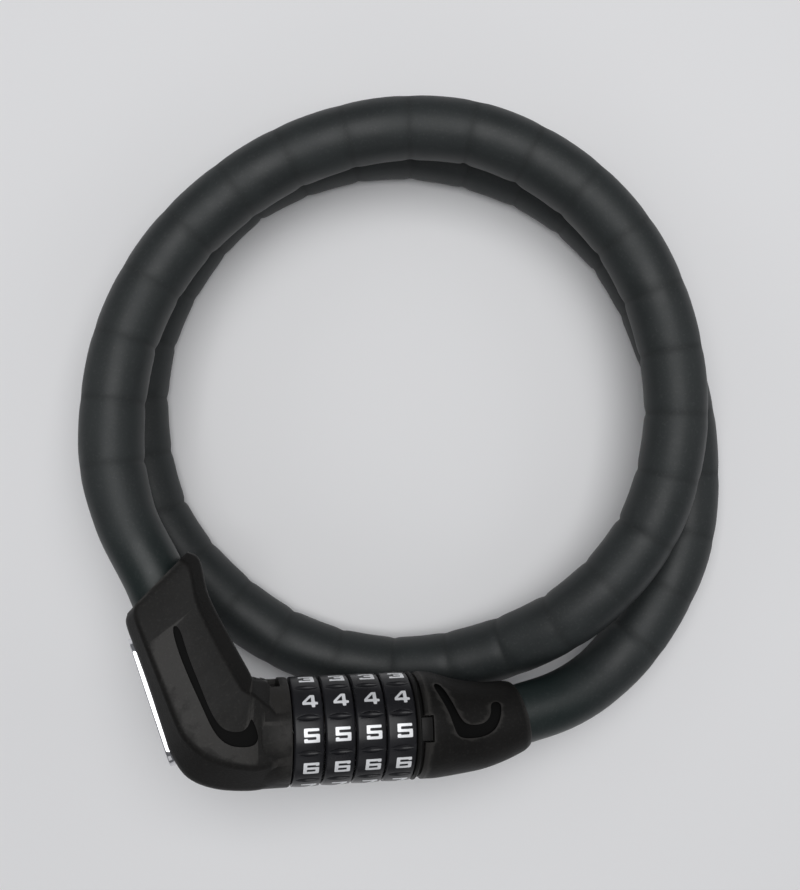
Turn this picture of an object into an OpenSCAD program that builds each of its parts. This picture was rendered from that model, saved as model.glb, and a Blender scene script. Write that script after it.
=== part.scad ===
// Armoured cable lock with a four-wheel combination barrel, lying in a coil.
// Millimetres. +Z is up. The origin is the coil's centre on the resting plane.

/* [Cable] */
// Outside diameter of the sheath over the armour
cable_d = 15; // [14:0.1:15.4]
// Outside diameter of the smooth ends that enter the housings
cable_end_d = 14.2; // [13.4:0.1:14.6]
// Wall of the sheath
sheath_wall = 2.1; // [1.8:0.1:2.6]
// Length of one armour segment along the cable
segment_pitch = 14.8; // [12:0.1:18]
// Depth of the crease between two segments
crease_depth = 0.45; // [0.1:0.05:0.6]
// Wall of one armour shell
armour_wall = 1.2; // [0.8:0.1:1.5]
// Diameter of the steel rope
rope_d = 7; // [5:0.5:7.5]

/* [Wheels] */
// Outside diameter of a number wheel
wheel_d = 24.8; // [24:0.1:25.4]
// Distance from one wheel to the next
wheel_pitch = 7; // [6.6:0.05:7.2]
// Gap between two wheels
wheel_gap = 0.3; // [0.2:0.05:0.5]
// Depth of the lens-shaped grips between the digits
grip_depth = 0.55; // [0.3:0.05:0.8]

/* [Barrel] */
// Diameter of the locking bolt
bolt_d = 6.4; // [5.6:0.1:6.8]
// Radial running clearance of bolt, rings and sleeve
run_clear = 0.1; // [0.06:0.01:0.1]
// Wall of the barrel's sleeve
sleeve_wall = 2.9; // [2.6:0.1:3]
// Radial thickness of a code ring
ring_wall = 2.4; // [2.1:0.1:2.6]
// Width of a bolt tooth across the slot
tooth_w = 1.8; // [1.4:0.1:2.2]
// Height of a bolt tooth above the bolt
tooth_h = 4.3; // [4:0.1:4.6]

/* [Elbow housing] */
// Lean of the cable arm away from square to the barrel
arm_lean = 22; // [20:1:24]
// Wall beside the cable at the arm's mouth
arm_wall = 2.3; // [2:0.1:2.8]
// Half thickness of the housing at the corner
corner_half = 12.3; // [12:0.1:12.8]
// Depth of the hook-shaped relief on the front
relief_depth = 0.8; // [0.4:0.1:1.2]
// Length of the oval badge
badge_l = 30; // [24:0.5:31]
// Width of the oval badge
badge_w = 8.4; // [7:0.1:9]

/* [Plug housing] */
// Angle between the barrel and the cable at the plug's mouth
plug_turn = 13; // [10:1:15]
// Wall round the cable at the plug's mouth
mouth_wall = 0.8; // [0.6:0.1:1.2]
// Depth of the U-shaped relief on the front
plug_relief = 0.6; // [0.3:0.1:0.9]

/* [Placing] */
// Slope of the barrel, elbow end up
barrel_slope = 12.5; // [11:0.5:13]
// Roll of the barrel that turns the index towards the coil
barrel_roll = 9; // [7:0.5:11]

/* [Hidden] */

WHEELS = 4;                     // wheels on the barrel
DIGITS = 10;                    // places on a wheel
wheel_r = wheel_d / 2;
wheel_w = wheel_pitch - wheel_gap;
stack_half = WHEELS * wheel_pitch / 2 + 0.1;   // barrel centre to the faces beside the stack
function wheel_x(i) = (i - (WHEELS + 1) / 2) * wheel_pitch;

bolt_r = bolt_d / 2;
sleeve_bore = bolt_r + run_clear;
sleeve_r = sleeve_bore + sleeve_wall;
ring_bore = sleeve_r + run_clear;
ring_r = ring_bore + ring_wall;
seat_gap = 0.1;                 // between pieces that stay together
slot_w = tooth_w + 0.5;
tooth_r = bolt_r + tooth_h;
tooth_t = 1.5;                  // a tooth along the barrel
tooth_gap = 0.35;               // tooth to the code ring that holds it
ring_w = wheel_pitch - 2.45;    // the rest of a pitch is the tooth's chamber
ring_lead = 1.2;                // wheel centre to the code ring's inner face
rib_r = 0.7;                    // clutch ribs between code ring and wheel
rib_inset = 0.25;               // ribs stop short of the ring's faces

sleeve_flange_r = 9.5;
sleeve_start = -stack_half - 12.3;
sleeve_flange_t = 2.8;
index_t = 1.5;                  // index ring along the barrel
index_end = stack_half + index_t;
tab_l = 1.8;                    // index tab past its ring
tab_half = 2.6;
tab_sink = 2.9;                 // tab's underside below the wheels' outside
clip_t = 0.8;
sleeve_end = index_end + 1.1;
plug_start = index_end + 0.3;   // plug's face
bolt_tip = -stack_half - 2.7;
insert_start = plug_start + 3;
insert_l = 6.5;
insert_r = 8;
bolt_end = insert_start + insert_l - 1;

neck_r = wheel_r - 0.1;
neck_l = 7.4;                   // round neck beside the wheels
pivot_x = -stack_half - 15;     // where the arm's axis meets the barrel's
end_r = cable_end_d / 2;
mouth_clear = 0.2;
cable_bore = end_r + mouth_clear;
arm_half = cable_bore + arm_wall;
arm_mouth = 37;                 // mouth's middle along the arm
seat_l = 15;                    // cable held inside the arm
plug_mouth = [stack_half + 27.6, 1];
plug_seat_l = 9;                // cable held inside the plug
plug_lead = 6;                  // cable straight past the plug's mouth
piece_clear = 0.15;             // round pieces that lie in a cover
end_clear = 0.2;                // past the ends of pieces that lie in a cover
flange_r = 7.6;                 // elbow ferrule's flange
flange_t = 2.4;
ferrule_r = 5.6;
ferrule_at = sleeve_flange_r + 0.5;                          // along the arm, clear of the sleeve
ferrule_l = arm_mouth - seat_l - end_clear - ferrule_at;
ferrule_floor = 1;              // ferrule's closed end
plug_flange_r = 6.2;
plug_flange_t = 2;
plug_ferrule_r = 5.3;
plug_ferrule_l = 5.6;
plug_ferrule_at = -plug_seat_l - end_clear - plug_ferrule_l; // along the plug's line
rope_r = rope_d / 2;
rope_end = 9;                   // bare rope past the sheath at the elbow
plug_rope_end = plug_ferrule_l - ferrule_floor - end_clear;
screw_r = 1.1;
screw_head_r = 2;
split = 0.08;                   // half the seam between two covers
beyond = 60;                    // a cut this long leaves the piece it starts in

// ---- frames -------------------------------------------------------------

barrel_at = [-12.2, -79.8, 29.8];

module on_barrel() {
    translate(barrel_at) rotate([0, barrel_slope, 0]) rotate([-barrel_roll, 0, 0]) children();
}
module turned(x = 0) { translate([x, 0, 0]) rotate([0, 90, 0]) children(); }
module arm_line() { translate([pivot_x, 0, 0]) rotate([0, 0, 90 + arm_lean]) children(); }
module plug_line() { translate([plug_mouth.x, plug_mouth.y, 0]) rotate([0, 0, plug_turn]) children(); }

// A point of the arm: t along its axis, w across it towards the spine.
function arm_pt(t, w) = [pivot_x - t * sin(arm_lean) - w * cos(arm_lean),
                         t * cos(arm_lean) - w * sin(arm_lean)];
function plug_pt(t) = [plug_mouth.x + t * cos(plug_turn), plug_mouth.y + t * sin(plug_turn)];

// A point of the barrel's frame in the part's frame.
function placed(p) =
    let (b = barrel_slope, r = barrel_roll,
         y = p.y * cos(r) + p.z * sin(r), z = -p.y * sin(r) + p.z * cos(r))
    barrel_at + [p.x * cos(b) + z * sin(b), y, -p.x * sin(b) + z * cos(b)];
function placed_plan(p) = placed([p.x, p.y, 0]);

// ---- cable route --------------------------------------------------------

// Centre of the cable, from the elbow over the upper turn, down past the barrel and round below.
ROUTE = [[-63.5, -30, 32], [-67, -12.5, 30], [-64.5, 10.5, 27], [-55, 30.5, 24.5], [-40, 46, 23],
    [-22, 56.5, 22.5], [-1, 61.5, 22.5], [20.5, 59.5, 22.5], [40.5, 49, 22.5], [55.5, 32.5, 22.5],
    [64, 11, 22.5], [65.5, -12, 22.5], [59, -35, 21], [43.5, -53.5, 18.5], [22.5, -65.5, 11],
    [-1.5, -70, 7], [-25, -65, 6], [-45, -52, 6], [-60, -33.5, 6], [-66, -11, 6], [-64.5, 11.5, 6],
    [-55.5, 31.5, 6], [-41, 48, 6], [-22, 57.5, 6], [-1.5, 61, 6], [19.5, 58, 6], [39.5, 49, 6],
    [56, 33.5, 6], [66.5, 12.5, 6], [72.5, -12.5, 6.5], [70, -41, 8.5], [54.5, -66, 12.5]];

// The seats hold the cable straight, so the curve starts and ends along them.
arm_seat = placed_plan(arm_pt(arm_mouth - seat_l, 0));
arm_exit = placed_plan(arm_pt(arm_mouth, 0));
plug_entry = placed_plan(plug_pt(plug_lead));
plug_seat = placed_plan(plug_pt(-plug_seat_l));
route = concat([arm_exit], ROUTE, [plug_entry]);

STEPS = 10;                     // straight pieces between two points of the route
function unit(v) = v / norm(v);
function blend(a, b, c, d, t) =
    0.5 * (2 * b + (c - a) * t + (2 * a - 5 * b + 4 * c - d) * t * t
           + (3 * b - a - 3 * c + d) * t * t * t);
last = len(route) - 1;
posts = concat(
    [route[1] - 2 * norm(route[1] - route[0]) * unit(arm_exit - arm_seat)], route,
    [route[last - 1] + 2 * norm(route[last] - route[last - 1]) * unit(plug_seat - plug_entry)]);
line = concat([arm_seat], [for (i = [0:last - 1], k = [0:STEPS - 1])
    blend(posts[i], posts[i + 1], posts[i + 2], posts[i + 3], k / STEPS)], [plug_entry, plug_seat]);
reach = [for (i = 0, s = 0; i < len(line);
              s = s + (i + 1 < len(line) ? norm(line[i + 1] - line[i]) : 0), i = i + 1) s];
cable_l = reach[len(reach) - 1];
along_x = [for (i = [0:len(line) - 1]) [reach[i], line[i].x]];
along_y = [for (i = [0:len(line) - 1]) [reach[i], line[i].y]];
along_z = [for (i = [0:len(line) - 1]) [reach[i], line[i].z]];
function at(s) = [lookup(s, along_x), lookup(s, along_y), lookup(s, along_z)];
function heading(s) = unit(at(s + 0.6) - at(s - 0.6));

SEGMENTS = round(cable_l / segment_pitch);
segment_l = cable_l / SEGMENTS;
SMOOTH = 2;                     // segments without a bulge at each end
cable_r = cable_d / 2;
bore_r = cable_r - sheath_wall;
armour_r = bore_r - 0.15;
SIDES = 16;
ROPE_SIDES = 8;

// A ring of points round the cable at s, flat where it rests on the plane z = 0.
function ring(s, r, sides) =
    let (c = at(s), t = heading(s), side = unit(cross([0, 0, 1], t)), up = cross(t, side))
    [for (k = [0:sides - 1])
        let (a = 360 * k / sides, p = c + r * (cos(a) * side + sin(a) * up)) [p.x, p.y, max(p.z, 0)]];
function smooth_at(i) = i <= SMOOTH || i >= SEGMENTS - SMOOTH;
skin_rings = [for (i = [0:SEGMENTS - 1], k = [0, 0.2, 0.8])
                  let (plain = smooth_at(i) && (k == 0 || smooth_at(i + 1)))
                  ring((i + k) * segment_l, plain ? end_r : cable_r - (k == 0 ? crease_depth : 0), SIDES),
              ring(cable_l, end_r, SIDES)];
bore_rings = [for (i = [0:SEGMENTS]) ring(i * segment_l, (bore_r + 0.03) / cos(180 / SIDES), SIDES)];
joint_at = [for (i = [0:SEGMENTS]) at(i * segment_l)];

function flat(rings) = [for (r = rings, p = r) p];
// Triangles of a wall of `count` rings whose points start at `first`.
function wall(count, sides, first, outward) =
    [for (i = [0:count - 2], k = [0:sides - 1])
        let (a = first + i * sides + k, b = first + i * sides + (k + 1) % sides, c = a + sides, d = b + sides)
        each outward ? [[a, c, d], [a, d, b]] : [[a, d, c], [a, b, d]]];
// Triangles between two rings of one end.
function rim(outer, inner, sides, start) =
    [for (k = [0:sides - 1])
        let (a = outer + k, b = outer + (k + 1) % sides, c = inner + k, d = inner + (k + 1) % sides)
        each start ? [[a, b, d], [a, d, c]] : [[a, d, b], [a, c, d]]];
function fan(first, sides, start) =
    [for (k = [1:sides - 2]) start ? [first, first + k, first + k + 1] : [first, first + k + 1, first + k]];

// Least gap between two turns, measured between points 4 mm apart along the cable.
gap_points = [for (s = [0:4:cable_l]) at(s)];
turn_gap = min([for (i = [0:len(gap_points) - 1], j = [i + 16:1:len(gap_points) - 1])
                    norm(gap_points[i] - gap_points[j])]) - cable_d;
echo(cable_length = cable_l, segments = SEGMENTS, least_gap_between_turns = turn_gap);

// ---- elbow housing ------------------------------------------------------

// Sections of the elbow: inner edge, outer edge, half thickness, plan width of the spine's bevel,
// half height of the spine, plan width of the inner bevel.
corner_in = [-stack_half - 8.4, neck_r + 0.7];
ELBOW = [
    [[-stack_half - 3.4, neck_r - 0.9], [-stack_half - 3.4, -neck_r + 0.9], neck_r - 0.9, 5.8, 4.9, 6.6],
    [corner_in + [0.3, -0.3], [-stack_half - 8.7, -neck_r + 0.2], corner_half - 0.2, 5.7, 4.8, 3.6],
    [corner_in, [-stack_half - 16.6, -neck_r + 1.1], corner_half, 6.4, 4.7, 3.5],
    [corner_in + [-0.15, 0.15], [-stack_half - 22.6, -neck_r + 3.9], corner_half - 0.05, 6.4, 4.8, 3.5],
    [corner_in + [-0.3, 0.4], [-stack_half - 26.1, -neck_r + 9], corner_half - 0.1, 4.8, 5.1, 3.5],
    [arm_pt(11.5, -arm_half - 1.2), arm_pt(6, arm_half + 1.7), corner_half - 0.3, 3.6, 5.4, 3.5],
    [arm_pt(20, -arm_half - 0.3), arm_pt(16.4, arm_half + 0.9), corner_half - 0.9, 2.8, 5.5, 3.5],
    [arm_pt(30, -arm_half + 0.4), arm_pt(25, arm_half + 0.5), corner_half - 1.6, 2.6, 5.3, 3.3],
    [arm_pt(38.2, -arm_half - 0.8), arm_pt(31.4, arm_half + 0.2), corner_half - 2.2, 2.6, 5, 3.2],
    [arm_pt(41, -arm_half + 0.9), arm_pt(33.6, arm_half - 0.9), corner_half - 2.8, 2.6, 4.6, 2.6]];

// The eight points of a section, its front and rear drawn in by `inset`.
function section(e, inset) =
    let (o = e[1], n = unit(e[0] - e[1]), w = norm(e[0] - e[1]), t = e[2] - inset,
         at_w = function(x, z) [o.x + n.x * x, o.y + n.y * x, z])
    [at_w(0, -e[4]), at_w(0, e[4]), at_w(e[3], t), at_w(w - e[5], t),
     at_w(w, t - e[5]), at_w(w, e[5] - t), at_w(w - e[5], -t), at_w(e[3], -t)];
module elbow_loft(inset = 0) {
    rings = [for (e = ELBOW) section(e, inset)];
    n = len(rings);
    polyhedron(points = flat(rings),
        faces = concat(wall(n, 8, 0, true), fan(0, 8, true), fan((n - 1) * 8, 8, false)));
}
module elbow_blank() {
    elbow_loft();
    turned(-stack_half - neck_l) rotate_extrude($fn = 96) polygon([[0, 0], [neck_r - 0.6, 0], [neck_r, 1],
        [neck_r, neck_l - 0.5], [neck_r - 0.5, neck_l], [0, neck_l]]);
}

// The hook-shaped relief: its outer edge, then back along the raised panel.
HOOK = [[-40.2, 25], [-39, 19.8], [-36.4, 13.2], [-33.8, 7.4], [-32, 3.2], [-30.2, 0.4], [-28, -1.2],
    [-25.4, -1.7], [-22.8, -1.6], [-21.6, -0.2], [-22.2, 2.4], [-23.2, 4.6], [-23.8, 2.8], [-25, 1.7],
    [-27, 1.6], [-29.2, 2.3], [-31, 4.4], [-32.6, 7.8], [-34.2, 12], [-36.8, 18.6], [-38.4, 24.6]];
relief_low = 5;                 // reliefs start above the covers' middle
module hook_relief() {
    difference() {
        translate([0, 0, relief_low]) linear_extrude(corner_half) polygon(HOOK);
        elbow_loft(relief_depth);
    }
}

badge_from = arm_pt(-0.9, arm_half + 2.4);
badge_to = arm_pt(27.5, arm_half + 0.5);
module on_spine() {
    mid = (badge_from + badge_to) / 2;
    way = badge_to - badge_from;
    translate([mid.x, mid.y, 0]) rotate([0, 0, atan2(way.y, way.x)]) rotate([-90, 0, 0]) children();
}
// An oval lying along X, from depth `z` outwards.
module oval(l, w, z, h) {
    translate([0, 0, z]) {
        translate([(w - l) / 2, -w / 2, 0]) cube([l - w, w, h]);
        for (s = [-1, 1]) translate([s * (l - w) / 2, 0, 0]) cylinder(h = h, d = w, $fn = 48);
    }
}
badge_sink = 0.9;
bezel_w = 0.9;                  // width of the chrome ring's face
bezel_rise = 0.7;
plate_rise = 0.25;

SLIDER_AT = [-stack_half - 8.2, 0, 1.5];    // slider's inner end at rest
slider_l = 3.3;
slider_h = 1.9;
slider_half = 4.6;
slider_travel = 2.6;
slider_floor = neck_r - 2;
lug_r = ring_r + 0.4;                       // the slider's guide lug stays outside the washers
lug_at = 0.9;                               // lug from the slider's inner end
lug_l = 1.3;
lug_half = 1;
track_clear = 0.2;
module slider_track() {
    translate([SLIDER_AT.x - track_clear, slider_floor, SLIDER_AT.z - slider_half - track_clear])
        cube([slider_l + slider_travel + 2 * track_clear, beyond, 2 * (slider_half + track_clear)]);
    translate([SLIDER_AT.x + lug_at - 0.3, lug_r - track_clear, -lug_half - track_clear])
        cube([lug_l + slider_travel + 0.6, beyond, 2 * (lug_half + track_clear)]);
}

ELBOW_SCREWS = [[-stack_half - 20.4, 1.5], [-stack_half - 15.4, -4.3]];
screw_seat = corner_half - 3.7;             // under the heads, below the covers' middle
screw_tip = corner_half - 4.7;              // above the middle
screw_head_t = 1.6;
socket_deep = 1;
washer_room = 3.2;                          // for the washers, beside the wheels
module elbow_cavity() {
    turned(sleeve_start - seat_gap) {
        cylinder(h = beyond, r = sleeve_r + piece_clear, $fn = 64);
        cylinder(h = sleeve_flange_t + 2 * seat_gap, r = sleeve_flange_r + piece_clear, $fn = 64);
    }
    turned(-stack_half - washer_room) cylinder(h = beyond, r = ring_r + 0.1, $fn = 64);
    arm_line() turned(ferrule_at - end_clear) {
        cylinder(h = flange_t + 2 * end_clear, r = flange_r + piece_clear, $fn = 64);
        cylinder(h = ferrule_l + 1, r = ferrule_r + piece_clear, $fn = 64);
    }
    arm_line() turned(arm_mouth - seat_l - seat_gap) cylinder(h = beyond, r = cable_bore, $fn = 64);
    slider_track();
    on_spine() oval(badge_l + 0.2, badge_w + 0.2, -badge_sink, 6);
}
module elbow_screw_holes() {
    for (p = ELBOW_SCREWS) translate([p.x, p.y, -beyond]) {
        cylinder(h = beyond + screw_tip + 0.4, r = screw_r + 0.05, $fn = 32);
        cylinder(h = beyond - screw_seat, r = screw_head_r + piece_clear, $fn = 32);
    }
}
module below(z) { translate([-beyond, -beyond, z - beyond]) cube([2 * beyond, 2 * beyond, beyond]); }
module above(z) { translate([-beyond, -beyond, z]) cube([2 * beyond, 2 * beyond, beyond]); }
module elbow_cover_front() {
    color([0.13, 0.13, 0.13]) on_barrel() difference() {
        elbow_blank();
        below(split);
        elbow_cavity();
        elbow_screw_holes();
        hook_relief();
    }
}
module elbow_cover_rear() {
    color([0.12, 0.12, 0.12]) on_barrel() difference() {
        elbow_blank();
        above(-split);
        elbow_cavity();
        elbow_screw_holes();
    }
}
module elbow_screws() {
    color([0.6, 0.6, 0.62]) on_barrel() for (p = ELBOW_SCREWS) translate([p.x, p.y, -screw_seat]) difference() {
        union() {
            translate([0, 0, -0.4]) cylinder(h = screw_seat + 0.4 + screw_tip, r = screw_r, $fn = 32);
            translate([0, 0, -screw_head_t]) cylinder(h = screw_head_t, r = screw_head_r, $fn = 32);
        }
        translate([0, 0, -screw_head_t - 1]) cylinder(h = socket_deep + 1, r = 1, $fn = 6);
    }
}
module badge_bezel() {
    color([0.8, 0.8, 0.82]) on_barrel() on_spine() difference() {
        oval(badge_l, badge_w, -badge_sink + 0.05, badge_sink + bezel_rise);
        oval(badge_l - 2 * bezel_w, badge_w - 2 * bezel_w, -3, 8);
    }
}
module badge_plate() {
    edge = 2 * bezel_w + 0.1;
    color([0.05, 0.05, 0.05]) on_barrel() on_spine()
        oval(badge_l - edge, badge_w - edge, -badge_sink + 0.05, badge_sink + plate_rise);
}
module code_slider() {
    color([0.2, 0.2, 0.2]) on_barrel() {
        translate([SLIDER_AT.x, slider_floor + 0.1, SLIDER_AT.z - slider_half])
            cube([slider_l, slider_h, 2 * slider_half]);
        translate([SLIDER_AT.x + lug_at, lug_r, -lug_half]) cube([lug_l, slider_floor - lug_r + 0.4, 2 * lug_half]);
    }
}

// ---- barrel -------------------------------------------------------------

leaf_w = 2.4;
leaf_r = bolt_r + 1.5;          // leaf's inner face
groove_at = index_end - sleeve_start;           // retaining ring's groove, along the sleeve
module barrel_sleeve() {
    color([0.62, 0.63, 0.65]) on_barrel() difference() {
        turned(sleeve_start) rotate_extrude($fn = 64) polygon([[0, 0], [sleeve_flange_r, 0],
            [sleeve_flange_r, sleeve_flange_t], [sleeve_r, sleeve_flange_t],
            [sleeve_r, groove_at], [sleeve_r - 0.5, groove_at],
            [sleeve_r - 0.5, groove_at + clip_t + 0.1], [sleeve_r, groove_at + clip_t + 0.1],
            [sleeve_r, sleeve_end - sleeve_start], [0, sleeve_end - sleeve_start]]);
        turned(bolt_tip - 0.6) cylinder(h = beyond, r = sleeve_bore, $fn = 64);
        translate([bolt_tip - 0.6, -slot_w / 2, 0]) cube([beyond, slot_w, beyond]);
        translate([-stack_half, -leaf_w / 2 - 0.1, -beyond]) cube([2 * stack_half, leaf_w + 0.2, beyond - leaf_r]);
    }
}
module detent_leaf() {
    color([0.7, 0.7, 0.72]) on_barrel() {
        translate([-stack_half + 0.1, -leaf_w / 2, -leaf_r - 0.42]) cube([2 * stack_half - 0.2, leaf_w, 0.4]);
        for (i = [1:WHEELS]) translate([wheel_x(i) + ring_lead, leaf_w / 2, -leaf_r - 0.42]) difference() {
            rotate([90, 0, 0]) cylinder(h = leaf_w, r = sleeve_r - leaf_r - 0.46, $fn = 32);
            translate([-3, -leaf_w - 1, 0.2]) cube([6, leaf_w + 2, 6]);
        }
    }
}
module wave_washer() {
    color([0.7, 0.7, 0.72]) on_barrel() turned(-stack_half - 3.1) rotate_extrude($fn = 64)
        polygon([[sleeve_r + 0.1, 0], [ring_r - 0.4, 1.2], [ring_r - 0.4, 1.6], [sleeve_r + 0.1, 0.4]]);
}
module thrust_washer() {
    color([0.75, 0.7, 0.5]) on_barrel() turned(-stack_half - 1.4) rotate_extrude($fn = 64)
        polygon([[sleeve_r + 0.1, 0], [ring_r, 0], [ring_r, 1], [sleeve_r + 0.1, 1]]);
}
module index_ring() {
    color([0.16, 0.16, 0.16]) on_barrel() difference() {
        union() {
            turned(stack_half) rotate_extrude($fn = 96) polygon([[sleeve_r + 0.05, 0], [wheel_r - 0.5, 0],
                [wheel_r, 0.5], [wheel_r, index_t - 0.9], [wheel_r - 0.9, index_t], [sleeve_r + 0.05, index_t]]);
            intersection() {
                turned(index_end - 0.7) cylinder(h = tab_l + 0.7, r = wheel_r, $fn = 96);
                translate([stack_half, -tab_half, wheel_r - tab_sink]) cube([beyond, 2 * tab_half, beyond]);
            }
        }
        translate([0, -slot_w / 2, 0]) cube([beyond, slot_w, tooth_r + 0.3]);
    }
}
clip_rim = 1.7;
module retaining_ring() {
    inner = sleeve_r - 0.4;
    outer = sleeve_r + clip_rim;
    color([0.6, 0.6, 0.62]) on_barrel() difference() {
        turned(index_end + 0.05) rotate_extrude($fn = 64)
            polygon([[inner, 0], [outer, 0], [outer, clip_t - 0.05], [inner, clip_t - 0.05]]);
        translate([0, -slot_w / 2 - 0.8, 0]) cube([beyond, slot_w + 1.6, beyond]);
    }
}

grip_rim = 0.8;                 // what a grip leaves of the wheel's width
grip_w = 1.6;
// One grip: a lens-shaped pocket along the wheel's width, open outwards.
module grip_cut(l, w) {
    arc_r = (l * l + w * w) / (4 * w);
    translate([0, 0, wheel_r - grip_depth]) linear_extrude(5) intersection() {
        translate([0, arc_r - w / 2]) circle(r = arc_r, $fn = 128);
        translate([0, w / 2 - arc_r]) circle(r = arc_r, $fn = 128);
    }
}
module number_wheel(i) {
    color([0.06, 0.06, 0.07]) on_barrel() translate([wheel_x(i), 0, 0]) difference() {
        turned(-wheel_w / 2) rotate_extrude($fn = 96) polygon([[ring_r + seat_gap, 0], [wheel_r - 0.55, 0],
            [wheel_r - 0.15, 0.35], [wheel_r, wheel_w / 2], [wheel_r - 0.15, wheel_w - 0.35],
            [wheel_r - 0.55, wheel_w], [ring_r + seat_gap, wheel_w]]);
        for (k = [0:DIGITS - 1]) rotate([360 * (k + 0.5) / DIGITS, 0, 0]) {
            grip_cut(wheel_w - grip_rim, grip_w);
            translate([0, 0, ring_r]) turned(-wheel_w) cylinder(h = 2 * wheel_w, r = rib_r + 0.1, $fn = 24);
        }
    }
}
module code_ring(i) {
    color([0.8, 0.65, 0.35]) on_barrel() translate([wheel_x(i) - ring_lead, 0, 0]) difference() {
        union() {
            turned() cylinder(h = ring_w, r = ring_r, $fn = 64);
            for (k = [0:DIGITS - 1]) rotate([360 * (k + 0.5) / DIGITS, 0, 0])
                translate([rib_inset, 0, ring_r]) turned() cylinder(h = ring_w - 2 * rib_inset, r = rib_r, $fn = 24);
        }
        turned(-1) cylinder(h = ring_w + 2, r = ring_bore, $fn = 64);
        translate([-1, -slot_w / 2, 0]) cube([ring_w + 2, slot_w, tooth_r + 0.3]);
        for (k = [1:DIGITS - 1]) rotate([360 * k / DIGITS, 0, 0])
            translate([0, 0, ring_bore]) turned(-1) cylinder(h = ring_w + 2, r = 0.6, $fn = 24);
    }
}
module number_wheel_1() { number_wheel(1); }
module number_wheel_2() { number_wheel(2); }
module number_wheel_3() { number_wheel(3); }
module number_wheel_4() { number_wheel(4); }
module code_ring_1() { code_ring(1); }
module code_ring_2() { code_ring(2); }
module code_ring_3() { code_ring(3); }
module code_ring_4() { code_ring(4); }

// ---- bolt and plug ------------------------------------------------------

pin_x = insert_start + insert_l / 2;
pin_r = 1;
module locking_bolt() {
    color([0.75, 0.76, 0.78]) on_barrel() difference() {
        union() {
            turned(bolt_tip) rotate_extrude($fn = 64) polygon([[0, 0], [bolt_r - 1, 0], [bolt_r, 1.2],
                [bolt_r, bolt_end - bolt_tip], [0, bolt_end - bolt_tip]]);
            for (i = [1:WHEELS]) translate([wheel_x(i) - ring_lead - tooth_gap - tooth_t, -tooth_w / 2, 0])
                cube([tooth_t, tooth_w, tooth_r]);
        }
        pin_hole();
    }
}
module pin_hole() {
    translate([pin_x, beyond / 2, 0]) rotate([90, 0, 0]) cylinder(h = beyond, r = pin_r + 0.03, $fn = 32);
}
module bolt_pin() {
    color([0.55, 0.55, 0.58]) on_barrel() translate([pin_x, insert_r - 0.3, 0]) rotate([90, 0, 0])
        cylinder(h = 2 * insert_r - 0.6, r = pin_r, $fn = 32);
}
module plug_insert() {
    color([0.66, 0.66, 0.6]) on_barrel() difference() {
        turned(insert_start) cylinder(h = insert_l, r = insert_r, $fn = 64);
        turned(insert_start - 1) cylinder(h = bolt_end - insert_start + 1.05, r = bolt_r + 0.03, $fn = 64);
        pin_hole();
    }
}

mouth_r = cable_bore + mouth_wall;
// Rings of the plug's skin: share of the way from its face to its mouth, radius, and how far
// the ring's middle lies below the line from the barrel's axis to the mouth's middle.
PLUG = [[0, wheel_r - 0.7, 0], [0.03, wheel_r - 0.05, 0], [0.17, wheel_r - 0.3, 0.4],
    [0.38, wheel_r - 1.4, 1.2], [0.58, wheel_r - 2.2, 1.5], [0.75, wheel_r - 2.9, 1.1],
    [0.88, mouth_r + 0.8, 0.5], [0.95, mouth_r + 0.35, 0.2], [0.985, mouth_r - 0.05, 0], [1, mouth_r - 0.4, 0]];
PLUG_SIDES = 40;
plug_l = plug_mouth.x - plug_start;
turn_from = 0.5;                // where the skin starts to turn towards the cable
// Points of one ring, drawn in by `inset`.
function plug_ring(p, inset) =
    let (turn = plug_turn * max(0, p[0] - turn_from) / (1 - turn_from), r = p[1] - inset,
         middle = [plug_start + p[0] * plug_l, plug_mouth.y * p[0] - p[2]])
    [for (k = [0:PLUG_SIDES - 1])
        let (a = 360 * (k + 0.5) / PLUG_SIDES, w = r * cos(a))
        [middle.x - w * sin(turn), middle.y + w * cos(turn), r * sin(a)]];
module plug_skin(inset = 0) {
    n = len(PLUG);
    polyhedron(points = flat([for (p = PLUG) plug_ring(p, inset)]),
        faces = concat(wall(n, PLUG_SIDES, 0, true), fan(0, PLUG_SIDES, true),
                       fan((n - 1) * PLUG_SIDES, PLUG_SIDES, false)));
}
tab_clear = 0.4;
module plug_cavity() {
    turned(plug_start - 1)
        cylinder(h = insert_start - plug_start + 1 + seat_gap, r = sleeve_r + clip_rim + 0.9, $fn = 64);
    turned(insert_start - seat_gap) cylinder(h = insert_l + 2 * seat_gap, r = insert_r + seat_gap, $fn = 64);
    plug_line() turned(plug_ferrule_at - end_clear) {
        cylinder(h = plug_flange_t + 2 * end_clear, r = plug_flange_r + piece_clear, $fn = 64);
        cylinder(h = plug_ferrule_l + 1, r = plug_ferrule_r + piece_clear, $fn = 64);
    }
    plug_line() turned(-plug_seat_l - seat_gap) cylinder(h = beyond, r = cable_bore, $fn = 64);
    translate([plug_start - 1, -tab_half - tab_clear, wheel_r - tab_sink - tab_clear])
        cube([index_end + tab_l + tab_clear - plug_start + 1, 2 * (tab_half + tab_clear), beyond]);
}
PLUG_SCREWS = [[plug_start + 4.6, 9.3], [plug_start + 4.6, -9.8]];
plug_screw_r = 0.8;
plug_screw_head = 1.3;
plug_head_t = 1.3;
plug_socket_deep = 0.7;
plug_screw_seat = 4;            // under the heads, below the covers' middle
plug_screw_tip = 4.4;
module plug_screw_holes() {
    for (p = PLUG_SCREWS) translate([p.x, p.y, -beyond]) {
        cylinder(h = beyond + plug_screw_tip + 0.1, r = plug_screw_r + 0.05, $fn = 32);
        cylinder(h = beyond - plug_screw_seat, r = plug_screw_head + 0.1, $fn = 32);
    }
}
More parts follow.
